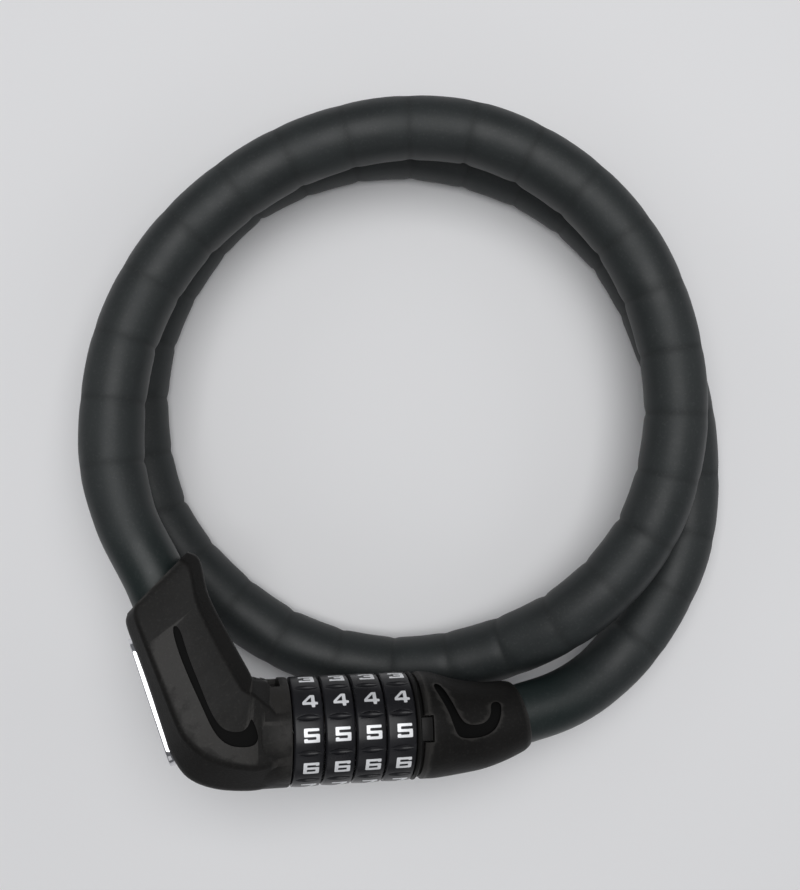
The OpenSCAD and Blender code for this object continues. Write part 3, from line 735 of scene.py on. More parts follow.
def finish_named(name):
    """The lock's finishes, each made once."""
    if name in FINISHES:
        return FINISHES[name]
    scene = bpy.context.scene
    plastic, wheel, silver = (
        tuple(c) for c in (scene.lock_housing.colour, scene.lock_wheel.colour, scene.lock_wheel.print_colour)
    )
    makers = {
        "soft_touch": lambda: surface(
            "Soft-touch plastic", plastic, 0.52, grain=0.30, grain_scale=3200, wear=(0.040, 0.038, 0.036),
            dust=0.03, Specular_IOR_Level=0.13,
        ),
        # Painted shade: the relief's walls and floor are coloured darker than the housing.
        "relief_painted_shade": lambda: surface("Relief painted shade", (0.004, 0.004, 0.004), 0.6, Specular_IOR_Level=0.05),
        "slider_black": lambda: surface("Slider plastic", (0.030, 0.029, 0.028), 0.40, Specular_IOR_Level=0.4),
        "satin_black": lambda: surface(
            "Satin black plastic", (0.010, 0.0097, 0.0094), 0.42, grain=0.10, grain_scale=4200,
            Specular_IOR_Level=0.12,
        ),
        "polished_black": lambda: surface(
            "Polished black", wheel, 0.30, wear=(0.03, 0.03, 0.032), dust=0.02, Specular_IOR_Level=0.22,
            Coat_Weight=0.06, Coat_Roughness=0.16,
        ),
        "silver_print": lambda: surface("Silver print", silver, 0.34, cloud=0.12, Metallic=0.25),
        "chrome": lambda: surface("Bright plating", (0.66, 0.66, 0.68), 0.09, cloud=0.05, Metallic=1.0),
        "badge_black": lambda: surface(
            "Badge black", (0.008, 0.008, 0.009), 0.32, cloud=0.05, Specular_IOR_Level=0.3
        ),
        "sheath": lambda: sheath_material(scene.lock_cable),
        "cast_zinc": lambda: surface(
            "Cast zinc", (0.50, 0.51, 0.53), 0.42, grain=0.12, grain_scale=1800, Metallic=1.0
        ),
        "brass": lambda: brushed("Turned brass", (0.66, 0.49, 0.22), 0.28),
        "spring": lambda: brushed("Spring strip", (0.56, 0.57, 0.58), 0.22),
        "screw": lambda: brushed("Zinc-plated screw", (0.46, 0.47, 0.48), 0.34),
        "ground_steel": lambda: brushed("Ground steel", (0.60, 0.61, 0.63), 0.24),
        "rope": lambda: brushed("Laid wire", (0.46, 0.47, 0.48), 0.36, (900, 900, 900), 0.4),
        "armour": lambda: brushed("Hardened armour", (0.26, 0.27, 0.29), 0.38),
    }
    FINISHES[name] = makers[name]()
    return FINISHES[name]


# ---- stage -----------------------------------------------------------------

CAMERA_AT = (0, -0.014, 0.290)
SENSOR = 36
FOCAL_PIXELS = 1120
PICTURE_PIXELS = 890
FLOOR_DROP = 0.0002
AIM = Vector((0, 0, 0.01))


class LOCK_OT_stage(bpy.types.Operator):
    """Adds the camera, the floor, the lamps and the surroundings"""

    bl_idname = "cable_lock.stage"
    bl_label = "Stage"

    def execute(self, context):
        settings = context.scene.lock_stage
        clear_selection()
        bpy.ops.object.camera_add(location=CAMERA_AT, rotation=(0, 0, 0))
        camera = context.object
        camera.name = "camera"
        camera.data.sensor_width = SENSOR
        camera.data.lens = SENSOR * FOCAL_PIXELS / PICTURE_PIXELS
        camera.data.clip_start = 0.01
        context.scene.camera = camera

        clear_selection()
        bpy.ops.mesh.primitive_plane_add(size=8, location=(0, 0, -FLOOR_DROP))
        floor = apply_place(started("floor"))
        material = bpy.data.materials.new("Pale floor")
        material.use_nodes = True
        shader = material.node_tree.nodes["Principled BSDF"]
        shader.inputs["Base Color"].default_value = (*settings.floor, 1)
        shader.inputs["Roughness"].default_value = 0.9
        dress(floor, material)

        for name, place, size, power in (
            ("lamp_overhead", (0.02, 0.10, 0.75), 0.60, settings.lamp),
            ("lamp_left", (-0.65, 0.15, 0.38), 0.45, settings.side_lamp),
            ("lamp_right", (0.65, 0.05, 0.38), 0.45, settings.side_lamp),
            ("lamp_front", (0.05, -0.65, 0.42), 0.40, settings.side_lamp * 0.7),
        ):
            clear_selection()
            bpy.ops.object.light_add(type="AREA", location=place)
            lamp = context.object
            lamp.name = name
            lamp.data.shape = "SQUARE"
            lamp.data.size = size
            lamp.data.energy = power
            lamp.rotation_euler = (AIM - Vector(place)).to_track_quat("-Z", "Y").to_euler()

        world = bpy.data.worlds.new("Surroundings")
        world.use_nodes = True
        background = world.node_tree.nodes["Background"]
        background.inputs["Color"].default_value = (0.93, 0.95, 1.0, 1)
        background.inputs["Strength"].default_value = settings.sky
        context.scene.world = world
        context.scene.view_settings.view_transform = "Standard"
        return {"FINISHED"}


# ---- cable -----------------------------------------------------------------

ROUTE = [
    (-63.5, -30, 32), (-67, -12.5, 30), (-64.5, 10.5, 27), (-55, 30.5, 24.5), (-40, 46, 23),
    (-22, 56.5, 22.5), (-1, 61.5, 22.5), (20.5, 59.5, 22.5), (40.5, 49, 22.5), (55.5, 32.5, 22.5),
    (64, 11, 22.5), (65.5, -12, 22.5), (59, -35, 21), (43.5, -53.5, 18.5), (22.5, -65.5, 11),
    (-1.5, -70, 7), (-25, -65, 6), (-45, -52, 6), (-60, -33.5, 6), (-66, -11, 6), (-64.5, 11.5, 6),
    (-55.5, 31.5, 6), (-41, 48, 6), (-22, 57.5, 6), (-1.5, 61, 6), (19.5, 58, 6), (39.5, 49, 6),
    (56, 33.5, 6), (66.5, 12.5, 6), (72.5, -12.5, 6.5), (70, -41, 8.5), (54.5, -66, 12.5),
]
STEPS = 10
HEADING_STEP = 0.6
CORD_STEPS = 400
INSIDE_OF_SHEATH = 1.95  # from the outside to the sheath's bore


def cable_line():
    """The cable's centre from seat to seat, in millimetres of the part's frame."""
    arm_seat = IN_BARREL @ arm_point(ARM_MOUTH - SEAT_L, 0)
    arm_exit = IN_BARREL @ arm_point(ARM_MOUTH, 0)
    plug_entry = IN_BARREL @ plug_point(PLUG_LEAD)
    plug_seat = IN_BARREL @ plug_point(-PLUG_SEAT_L)
    route = [arm_exit, *(Vector(p) for p in ROUTE), plug_entry]
    first = route[1] - 2 * (route[1] - route[0]).length * (arm_exit - arm_seat).normalized()
    final = route[-2] + 2 * (route[-1] - route[-2]).length * (plug_seat - plug_entry).normalized()
    return [arm_seat, *spline(route, STEPS, first, final), plug_seat]


class Run:
    """Finds points and headings along a line by distance."""

    def __init__(self, line):
        self.line = line
        self.reach = [0.0]
        for a, b in zip(line, line[1:]):
            self.reach.append(self.reach[-1] + (b - a).length)
        self.length = self.reach[-1]

    def at(self, distance):
        distance = min(max(distance, 0.0), self.length)
        high = min(bisect.bisect_right(self.reach, distance), len(self.reach) - 1)
        span = self.reach[high] - self.reach[high - 1]
        share = (distance - self.reach[high - 1]) / span if span else 0.0
        return self.line[high - 1].lerp(self.line[high], share)

    def heading(self, distance):
        return (self.at(distance + HEADING_STEP) - self.at(distance - HEADING_STEP)).normalized()

    def section(self, distance):
        """Centre, heading, side and up."""
        ahead = self.heading(distance)
        side = Vector((0, 0, 1)).cross(ahead).normalized()
        return self.at(distance), ahead, side, ahead.cross(side)


SMOOTH_END = 2.2  # segments beside a housing without creases
SWELL_OVER = 0.8  # segments over which the creases then come in
DARK_END = 17  # millimetres beside a housing in the end colour
DARK_FADE = 16
TIGHT_BEND = 0.22  # change of heading over ten millimetres that folds the inside most
ALONG_SEGMENT = (0, 0.018, 0.045, 0.08, 0.13, 0.2, 0.33, 0.5, 0.67, 0.8, 0.87, 0.92, 0.955, 0.982)


def sheath_rings(settings):
    """Rings of the sheath's outside with their crease masks, which place painted shade and roughness, and their end
    masks.
    """
    run = Run(cable_line())
    count = round(run.length / (settings.segment / MM))
    pitch = run.length / count
    radius = settings.diameter / MM / 2
    end_radius = settings.end_diameter / MM / 2
    crease = settings.crease / MM
    sides = settings.sides
    chance = random.Random(7)
    depth_at = [1 + 0.35 * (chance.random() - 0.5) for _ in range(count + 1)]
    lean_at = [0.4 * (chance.random() - 0.5) for _ in range(count + 1)]
    rings, crease_shade_masks, tints, along = [], [], [], []
    for index in range(count):
        for share in (*ALONG_SEGMENT, *((1.0,) if index == count - 1 else ())):
            distance = (index + share) * pitch
            middle, ahead, side, up = run.section(distance)
            turn = run.heading(distance + 5) - run.heading(distance - 5)
            turn -= turn.dot(ahead) * ahead
            sharpness = min(1.0, turn.length / TIGHT_BEND)
            inward = turn.normalized() if turn.length > 1e-4 else side
            joint = index if share < 0.5 else index + 1
            away = min(share, 1 - share) * pitch
            from_ends = min(distance, run.length - distance)
            bulge = min(1.0, max(0.0, (from_ends - SMOOTH_END * pitch) / (SWELL_OVER * pitch)))
            base = end_radius + (radius - end_radius) * bulge
            tint = 1 - min(1.0, max(0.0, (from_ends - DARK_END) / DARK_FADE))
            ring = []
            for k in range(sides):
                angle = 2 * math.pi * k / sides
                out = math.cos(angle) * side + math.sin(angle) * up
                inner = max(0.0, out.dot(inward)) * sharpness
                narrow = 1.1 + 0.7 * (1 - inner)
                pinch = math.exp(-((away + 0.25 * lean_at[joint] * math.sin(angle)) / narrow) ** 2)
                fold = 0.35 * inner * math.exp(-(((away - 2.3) / 0.8) ** 2))
                depth = crease * depth_at[joint] * (0.45 + 1.25 * inner)
                swell = 0.12 * inner * (1 - math.exp(-((away / 4.5) ** 2)))
                dent = depth * (pinch + 0.4 * fold) - min(swell, radius - base)
                point = middle + out * (base - bulge * dent)
                point.z = max(point.z, 0.0)
                ring.append(point)
            rings.append(ring)
            # Crease mask: the sheath's colour is darkened here as painted shade, and its roughness rises.
            crease_shade_masks.append(bulge * math.exp(-((away / 0.9) ** 2)) * depth_at[joint])
            tints.append(tint)
            along.append(distance)
    return run, pitch, count, rings, crease_shade_masks, tints, along


class LOCK_OT_cable(bpy.types.Operator):
    """Adds the sheath with its segments, and the rope and armour inside it"""

    bl_idname = "cable_lock.cable"
    bl_label = "Cable"

    def execute(self, context):
        settings = context.scene.lock_cable
        run, pitch, count, rings, crease_shade_masks, tints, along = sheath_rings(settings)
        sides = settings.sides
        bore = settings.diameter / MM / 2 - INSIDE_OF_SHEATH
        turns = [2 * math.pi * k / sides for k in range(sides)]
        inner = []
        for index in range(count + 1):
            middle, _, side, up = run.section(index * pitch)
            inner.append([middle + bore * (math.cos(t) * side + math.sin(t) * up) for t in turns])
        points = [p * MM for ring in (*rings, *inner) for p in ring]
        start = len(rings) * sides
        faces = []

        def wall(first, total, outward):
            for i in range(total - 1):
                for k in range(sides):
                    a, b = first + i * sides + k, first + i * sides + (k + 1) % sides
                    face = (a, b, b + sides, a + sides)
                    faces.append(face[::-1] if outward else face)

        wall(0, len(rings), True)
        wall(start, len(inner), False)
        last_outer, last_inner = (len(rings) - 1) * sides, start + (len(inner) - 1) * sides
        for k in range(sides):
            n = (k + 1) % sides
            faces.append((k, n, start + n, start + k))
            faces.append((last_outer + n, last_outer + k, last_inner + k, last_inner + n))
        mesh = bpy.data.meshes.new("cable")
        mesh.from_pydata(points, [], faces)
        # The crease attribute places painted shade in the sheath's creases.
        for name, values in (("crease", crease_shade_masks), ("near_housing", tints)):
            attribute = mesh.attributes.new(name, "FLOAT", "POINT")
            spread = [v for v in values for _ in range(sides)] + [0.0] * (len(inner) * sides)
            attribute.data.foreach_set("value", spread)
        chart = mesh.uv_layers.new(name="along_cable")
        for polygon in mesh.polygons:
            corners = [mesh.loops[i].vertex_index for i in polygon.loop_indices]
            wraps = {c % sides for c in corners} == {0, sides - 1}
            for loop, corner in zip(polygon.loop_indices, corners):
                row, column = divmod(corner, sides)
                distance = along[row] if row < len(along) else 0.0
                around = 1.0 if wraps and column == 0 else column / sides
                chart.data[loop].uv = (distance * MM * 10, around)
        cable = linked("cable", mesh)
        take(cable)
        bpy.ops.object.shade_smooth()
        edit(cable)
        bpy.ops.mesh.normals_make_consistent(inside=False)
        close_edit()
        dress(cable, finish_named("sheath"))
        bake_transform(cable)
        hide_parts("cable_sheath")
        line = [run.at(run.length * k / CORD_STEPS) * MM for k in range(CORD_STEPS + 1)]
        for name, source, finish, slot in (
            ("rope", "steel_rope", "rope", "rope_steel"),
            ("armour", "armour_shells", "armour", "armour_steel"),
        ):
            inside = linked(name, NODES[source].data.copy())
            inside.data.name = name
            clean(inside, 1e-6)
            softened(inside, 0)
            dress(inside, finish_named(finish))
            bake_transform(inside)
            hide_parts(source)
        return {"FINISHED"}


# ---- elbow housing ---------------------------------------------------------

CORNER_IN = Vector((-STACK_HALF - 8.4, NECK_R + 0.7, 0))


def elbow_sections():
    """Inner edge, outer edge, half thickness, spine bevel, half spine and inner bevel of each section."""
    s = STACK_HALF
    return [
        (Vector((-s - 3.4, NECK_R - 0.9, 0)), Vector((-s - 3.4, -NECK_R + 0.9, 0)), NECK_R - 0.9, 5.8, 4.9, 6.6),
        (CORNER_IN + Vector((0.3, -0.3, 0)), Vector((-s - 8.7, -NECK_R + 0.2, 0)), CORNER_HALF - 0.2, 5.7,
         4.8, 3.6),
        (CORNER_IN, Vector((-s - 16.6, -NECK_R + 1.1, 0)), CORNER_HALF, 6.4, 4.7, 3.5),
        (CORNER_IN + Vector((-0.15, 0.15, 0)), Vector((-s - 22.6, -NECK_R + 3.9, 0)), CORNER_HALF - 0.05, 6.4,
         4.8, 3.5),
        (CORNER_IN + Vector((-0.3, 0.4, 0)), Vector((-s - 26.1, -NECK_R + 9, 0)), CORNER_HALF - 0.1, 4.8, 5.1, 3.5),
        (arm_point(11.5, -ARM_HALF - 1.2), arm_point(6, ARM_HALF + 1.7), CORNER_HALF - 0.3, 3.6, 5.4, 3.5),
        (arm_point(20, -ARM_HALF - 0.3), arm_point(16.4, ARM_HALF + 0.9), CORNER_HALF - 0.9, 2.8, 5.5, 3.5),
        (arm_point(30, -ARM_HALF + 0.4), arm_point(25, ARM_HALF + 0.5), CORNER_HALF - 1.6, 2.6, 5.3, 3.3),
        (arm_point(38.2, -ARM_HALF - 0.8), arm_point(31.4, ARM_HALF + 0.2), CORNER_HALF - 2.2, 2.6, 5, 3.2),
        (arm_point(41, -ARM_HALF + 0.9), arm_point(33.6, ARM_HALF - 0.9), CORNER_HALF - 2.8, 2.6, 4.6, 2.6),
    ]


def section_ring(inner, outer, half, bevel, spine, inner_bevel, inset):
    """The rounded outline of one section."""
    across = (inner - outer).normalized()
    wide = (inner - outer).length
    t = half - inset

    def at(x, z):
        return outer + across * x + Vector((0, 0, z))

    corners = [
        at(0, -spine), at(0, spine), at(bevel, t), at(wide - inner_bevel, t),
        at(wide, t - inner_bevel), at(wide, inner_bevel - t), at(wide - inner_bevel, -t), at(bevel, -t),
    ]
    return rounded(corners, [1.5, 1.5, 1.1, 0.7, 0.9, 0.9, 0.7, 1.1])


def elbow_skin(name, inset=0.0):
    sections = elbow_sections()
    tracks = [spline([Vector(s[i]) for s in sections], 6) for i in (0, 1)]
    numbers = spline([Vector((*s[2:5], s[5])) for s in sections], 6)
    rings = [
        section_ring(inner, outer, n[0], n[1], n[2], n[3], inset)
        for inner, outer, n in zip(tracks[0], tracks[1], numbers)
    ]
    return skinned(name, rings)


HOOK = [
    (-40.2, 25), (-39, 19.8), (-36.4, 13.2), (-33.8, 7.4), (-32, 3.2), (-30.2, 0.4), (-28, -1.2), (-25.4, -1.7),
    (-22.8, -1.6), (-21.6, -0.2), (-22.2, 2.4), (-23.2, 4.6), (-23.8, 2.8), (-25, 1.7), (-27, 1.6), (-29.2, 2.3),
    (-31, 4.4), (-32.6, 7.8), (-34.2, 12), (-36.8, 18.6), (-38.4, 24.6),
]
ELBOW_SCREWS = [(-STACK_HALF - 20.4, 1.5), (-STACK_HALF - 15.4, -4.3)]
SCREW_TIP = CORNER_HALF - 4.7
SCREW_SEAT = CORNER_HALF - 3.7
RELIEF_LOW = 5
OVAL_STEPS = 24


def on_spine():
    """The badge's frame: X along the spine, Z outwards."""
    low, high = arm_point(-0.9, ARM_HALF + 2.4), arm_point(27.5, ARM_HALF + 0.5)
    way = high - low
    return (
        Matrix.Translation((low + high) / 2) @ Matrix.Rotation(math.atan2(way.y, way.x), 4, "Z")
        @ Matrix.Rotation(-math.pi / 2, 4, "X")
    )


def oval_outline(length, width):
    outline = []
    for side in (1, -1):
        for k in range(OVAL_STEPS + 1):
            x = side * (length - width) / 2 + side * width / 2 * math.sin(math.pi * k / OVAL_STEPS)
            y = side * -math.cos(math.pi * k / OVAL_STEPS) * width / 2
            outline.append((x, y))
    return outline


def oval(name, length, width, low, high):
    return moved(prism(name, oval_outline(length, width), low, high), on_spine())


def slider_track():
    c = TRACK_CLEAR
    pocket = block(
        "pocket",
        (SLIDER_X - c, SLIDER_FLOOR, SLIDER_Z - SLIDER_HALF - c),
        (SLIDER_X + SLIDER_L + SLIDER_TRAVEL + c, SLIDER_FLOOR + 6, SLIDER_Z + SLIDER_HALF + c),
    )
    slot = block(
        "slot",
        (SLIDER_X + LUG_AT - 0.3, LUG_R - c, -LUG_HALF - c),
        (SLIDER_X + LUG_AT + LUG_L + SLIDER_TRAVEL + 0.3, LUG_R + 6, LUG_HALF + c),
    )
    return pocket, slot


def elbow_bores():
    """What is bored out of the elbow for the barrel, the cable and the slider."""
    start, ferrule, room = SLEEVE_START - SEAT_GAP, FERRULE_AT - END_CLEAR, -STACK_HALF - WASHER_ROOM
    return [
        rod("sleeve_bore", SLEEVE_R + PIECE_CLEAR, start, start + 60),
        rod("flange_bore", SLEEVE_FLANGE_R + PIECE_CLEAR, start, start + SLEEVE_FLANGE_T + 2 * SEAT_GAP),
        rod("ring_bore", RING_R + 0.1, room, room + 10),
        rod("ferrule_flange_bore", FLANGE_R + PIECE_CLEAR, ferrule, ferrule + FLANGE_T + 2 * END_CLEAR, ON_ARM),
        rod("ferrule_bore", FERRULE_R + PIECE_CLEAR, ferrule, ferrule + FERRULE_L + 1, ON_ARM),
        rod("cable_bore", CABLE_BORE, ARM_MOUTH - SEAT_L - SEAT_GAP, ARM_MOUTH + 25, ON_ARM),
        *slider_track(),
    ]


def elbow_blank(name):
    blank = elbow_skin(name)
    n = -STACK_HALF - NECK_L
    neck = turned(
        "neck",
        [
            (n, 0), (n, NECK_R - 0.6), (n + 1, NECK_R), (n + NECK_L - 0.5, NECK_R),
            (n + NECK_L - 0.15, NECK_R - 0.15), (n + NECK_L, NECK_R - 0.5), (n + NECK_L, 0),
        ],
        160,
    )
    return combine(blank, neck, "UNION")


class LOCK_OT_elbow(bpy.types.Operator):
    """Adds the elbow's front and rear covers"""

    bl_idname = "cable_lock.elbow"
    bl_label = "Elbow housing"

    def execute(self, context):
        settings = context.scene.lock_housing
        blank = elbow_blank("elbow_blank")
        cut(blank, *elbow_bores())
        length, width = settings.badge_length / MM, settings.badge_width / MM
        cut(blank, oval("badge_bore", length + 0.2, width + 0.2, -BADGE_SINK, 6))
        bore_screws(blank, ELBOW_SCREWS, shaft=1.15, tip=SCREW_TIP + 0.4, head=2.15, seat=SCREW_SEAT)
        relief = prism("relief", flowing([(x, y, 0) for x, y in HOOK]), RELIEF_LOW, RELIEF_LOW + CORNER_HALF)
        cut(relief, elbow_skin("relief_floor", settings.relief / MM))
        make_covers("elbow", blank, relief, "lock_body", settings.edge / MM)
        return {"FINISHED"}


class LOCK_OT_badge(bpy.types.Operator):
    """Adds the chrome oval and its bare dark plate"""

    bl_idname = "cable_lock.badge"
    bl_label = "Badge"

    def execute(self, context):
        settings = context.scene.lock_housing
        length, width = settings.badge_length / MM, settings.badge_width / MM
        bezel = oval("badge_ring", length, width, -BADGE_SINK + 0.05, BEZEL_RISE)
        cut(bezel, oval("window", length - 2 * BEZEL_W, width - 2 * BEZEL_W, -3, 5))
        softened(bezel, 0.28, angle=40, segments=4)
        set_in_lock(bezel, "lock_body", finish_named("chrome"), "bright_trim", "badge_bezel")
        edge = 2 * BEZEL_W + 0.1
        plate = oval("badge_inset", length - edge, width - edge, -BADGE_SINK + 0.05, PLATE_RISE)
        softened(plate, 0.2, angle=40, segments=3)
        set_in_lock(plate, "lock_body", finish_named("badge_black"), "gloss_black", "badge_plate")
        return {"FINISHED"}


class LOCK_OT_slider(bpy.types.Operator):
    """Adds the small slider with its ribs"""

    bl_idname = "cable_lock.slider"
    bl_label = "Slider"

    def execute(self, context):
        low = SLIDER_FLOOR + 0.1
        body = block(
            "code_button",
            (SLIDER_X, low, SLIDER_Z - SLIDER_HALF),
            (SLIDER_X + SLIDER_L, low + BUTTON_T, SLIDER_Z + SLIDER_HALF),
        )
        reach = SLIDER_HALF - 0.5
        for k in range(RIB_COUNT):
            x = SLIDER_X + RIB_FIRST + RIB_STEP * k
            low_corner = (x - RIB_HALF, low + 1, SLIDER_Z - reach)
            rib = block("rib", low_corner, (x + RIB_HALF, low + BUTTON_T + 0.15, SLIDER_Z + reach))
            combine(body, rib, "UNION")
        lug = SLIDER_X + LUG_AT
        combine(body, block("lug", (lug, LUG_R, -LUG_HALF), (lug + LUG_L, low + 0.4, LUG_HALF)), "UNION")
        clean(body)
        softened(body, 0.12)
        set_in_lock(body, "reset_slider", finish_named("slider_black"), "index_black", "code_slider")
        return {"FINISHED"}


# ---- wheels ----------------------------------------------------------------


def wheel_surface(x):
    """Radius of a wheel's crowned face at a distance from its middle."""
    edge = WHEEL_W / 2 - SHOULDER_W
    return WHEEL_R - CROWN * min(1.0, (abs(x) / edge) ** 2)


def wheel_profile():
    half, bore = WHEEL_W / 2, RING_R + 0.1
    face = [(x, wheel_surface(x)) for x in [k * (half - SHOULDER_W) / 5 for k in range(-5, 6)]]
    shoulder = WHEEL_R - SHOULDER_H
    return [(-half, bore), (-half, shoulder), *face, (half, shoulder), (half, bore)]


def grip_cutter(depth):
    """A spindle that scoops one lens-shaped grip."""
    long, wide = GRIP_L / 2, GRIP_W / 2
    arc = (long * long + wide * wide) / (2 * wide)
    profile = []
    for k in range(GRIP_STEPS + 1):
        x = -long + 2 * long * k / GRIP_STEPS
        profile.append((x, max(0.0, math.sqrt(arc * arc - x * x) - (arc - wide))))
    spindle = turned("grip", profile, 32)
    spindle.scale = (1, 1, (depth + 0.15) / wide)
    apply_place(spindle)
    return moved(spindle, Matrix.Translation((0, 0, WHEEL_R)))


class LOCK_OT_wheels(bpy.types.Operator):
    """Adds the four number wheels with their grips"""

    bl_idname = "cable_lock.wheels"
    bl_label = "Number wheels"

    def execute(self, context):
        settings = context.scene.lock_wheel
        wheel = turned("wheel", wheel_profile(), 180)
        grip = grip_cutter(settings.grip / MM)
        rib = rod("rib_way", RIB_R + 0.1, -WHEEL_W, WHEEL_W, Matrix.Translation((0, 0, RING_R)), 24)
        tools = []
        for k in range(DIGITS):
            turn = Matrix.Rotation(-2 * math.pi * (k + 0.5) / DIGITS, 4, "X")
            tools += [copied(grip, "grip_copy", turn), copied(rib, "rib_copy", turn)]
        for spare in (grip, rib):
            bpy.data.objects.remove(spare)
        cut(wheel, joined("cutters", tools))
        clean(wheel, 1e-3)
        softened(wheel, 0.07, angle=26)
        for number in range(1, WHEELS + 1):
            piece = copied(wheel, f"wheel_{number}", Matrix.Translation((wheel_x(number), 0, 0)))
            set_in_lock(
                piece, f"wheel_{number}", finish_named("polished_black"), "gloss_black", f"number_wheel_{number}"
            )
        bpy.data.objects.remove(wheel)
        return {"FINISHED"}


# Bold, wide, square numerals on a field of 12 by 12. A digit's first loop is its outline; later ones are holes.
DIGIT_FIELD = 12
DIGIT_LOOPS = {
    0: [[(0, 0), (12, 0), (12, 12), (0, 12)], [(2.7, 2.4), (2.7, 9.6), (9.3, 9.6), (9.3, 2.4)]],
    1: [[(5.2, 0), (7.9, 0), (7.9, 12), (5.7, 12), (2.4, 9.4), (2.4, 7.1), (5.2, 9.0)]],
    2: [[(0, 0), (12, 0), (12, 2.4), (2.7, 2.4), (2.7, 4.8), (12, 4.8), (12, 12), (0, 12), (0, 8.6), (2.7, 8.6),
         (2.7, 9.6), (9.3, 9.6), (9.3, 7.2), (0, 7.2)]],
    3: [[(0, 0), (12, 0), (12, 12), (0, 12), (0, 8.8), (2.7, 8.8), (2.7, 9.6), (9.3, 9.6), (9.3, 7.2), (4.0, 7.2),
         (4.0, 4.8), (9.3, 4.8), (9.3, 2.4), (2.7, 2.4), (2.7, 3.2), (0, 3.2)]],
    4: [[(7.0, 0), (9.7, 0), (9.7, 2.5), (12, 2.5), (12, 4.9), (9.7, 4.9), (9.7, 12), (6.2, 12), (0, 5.0),
         (0, 2.5), (7.0, 2.5)], [(2.6, 4.9), (7.0, 9.8), (7.0, 4.9)]],
    5: [[(0, 0), (12, 0), (12, 7.2), (2.7, 7.2), (2.7, 9.6), (11.6, 9.6), (11.6, 12), (0, 12), (0, 4.8), (9.3, 4.8),
         (9.3, 2.4), (2.7, 2.4), (2.7, 3.3), (0, 3.3)]],
    6: [[(0, 0), (12, 0), (12, 7.2), (2.7, 7.2), (2.7, 9.6), (9.3, 9.6), (9.3, 8.8), (11.9, 8.8), (11.9, 12),
         (0, 12)], [(2.7, 2.4), (2.7, 4.8), (9.3, 4.8), (9.3, 2.4)]],
    7: [[(3.4, 0), (6.3, 0), (12, 9.0), (12, 12), (0, 12), (0, 9.6), (8.8, 9.6)]],
    8: [[(0, 0), (12, 0), (12, 12), (0, 12)], [(2.7, 2.4), (2.7, 4.8), (9.3, 4.8), (9.3, 2.4)],
        [(2.7, 7.2), (2.7, 9.6), (9.3, 9.6), (9.3, 7.2)]],
    9: [[(12, 12), (0, 12), (0, 4.8), (9.3, 4.8), (9.3, 2.4), (2.7, 2.4), (2.7, 3.2), (0.1, 3.2), (0.1, 0),
         (12, 0)], [(9.3, 9.6), (9.3, 7.2), (2.7, 7.2), (2.7, 9.6)]],
}
DIGIT_ROUND = 0.9
DIGIT_ROUND_INSIDE = 0.4
DIGIT_SHIFT = 0.5
DIGIT_RAISE = 0.03
DIGIT_THICK = 0.05
DIGIT_STRIPS = 8
AT_INDEX = 5


def flat_digit(digit, width, height):
    """One digit as a thin flat plate, cut into strips that can bend."""
    shape = bpy.data.curves.new("digit", "CURVE")
    shape.dimensions = "2D"
    shape.fill_mode = "BOTH"
    shape.extrude = DIGIT_THICK / 2
    for number, loop in enumerate(DIGIT_LOOPS[digit]):
        radius = DIGIT_ROUND_INSIDE if number else DIGIT_ROUND
        outline = rounded([Vector((x, y, 0)) for x, y in loop], radius)
        line = shape.splines.new("POLY")
        line.points.add(len(outline) - 1)
        line.use_cyclic_u = True
        for point, corner in zip(line.points, outline):
            point.co = ((corner.x / DIGIT_FIELD - 0.5) * width, (corner.y / DIGIT_FIELD - 0.5) * height, 0, 1)
    take(linked("digit", shape))
    bpy.ops.object.convert(target="MESH")
    piece = bpy.context.object
    for axis, size in ((0, width), (1, height)):
        for k in range(1, DIGIT_STRIPS):
            edit(piece)
            at = (k / DIGIT_STRIPS - 0.5) * size
            normal = (1, 0, 0) if axis == 0 else (0, 1, 0)
            bpy.ops.mesh.bisect(plane_co=(at, at, 0), plane_no=normal)
            close_edit()
    return clean(piece)


class LOCK_OT_digits(bpy.types.Operator):
    """Prints the digits on the number wheels"""

    bl_idname = "cable_lock.digits"
    bl_label = "Digits"

    def execute(self, context):
        settings = context.scene.lock_wheel
        width, height = settings.digit_width / MM, settings.digit_height / MM
        plates = []
        for digit in range(DIGITS):
            plate = flat_digit(digit, width, height)
            middle = math.radians((AT_INDEX - digit) * 360 / DIGITS)
            for vertex in plate.data.vertices:
                x, y, z = vertex.co
                radius = wheel_surface(x) + DIGIT_RAISE - DIGIT_THICK / 2 + z
                angle = middle + y / WHEEL_R
                vertex.co = (x, radius * math.sin(angle), radius * math.cos(angle))
            plates.append(plate)
        digits = clean(joined("digits", plates), 1e-5)
        softened(digits, 0)
        for number in range(1, WHEELS + 1):
            piece = copied(digits, f"digits_{number}", Matrix.Translation((wheel_x(number) + DIGIT_SHIFT, 0, 0)))
            set_in_lock(piece, f"wheel_{number}", finish_named("silver_print"), "bright_trim")
        bpy.data.objects.remove(digits)
        return {"FINISHED"}


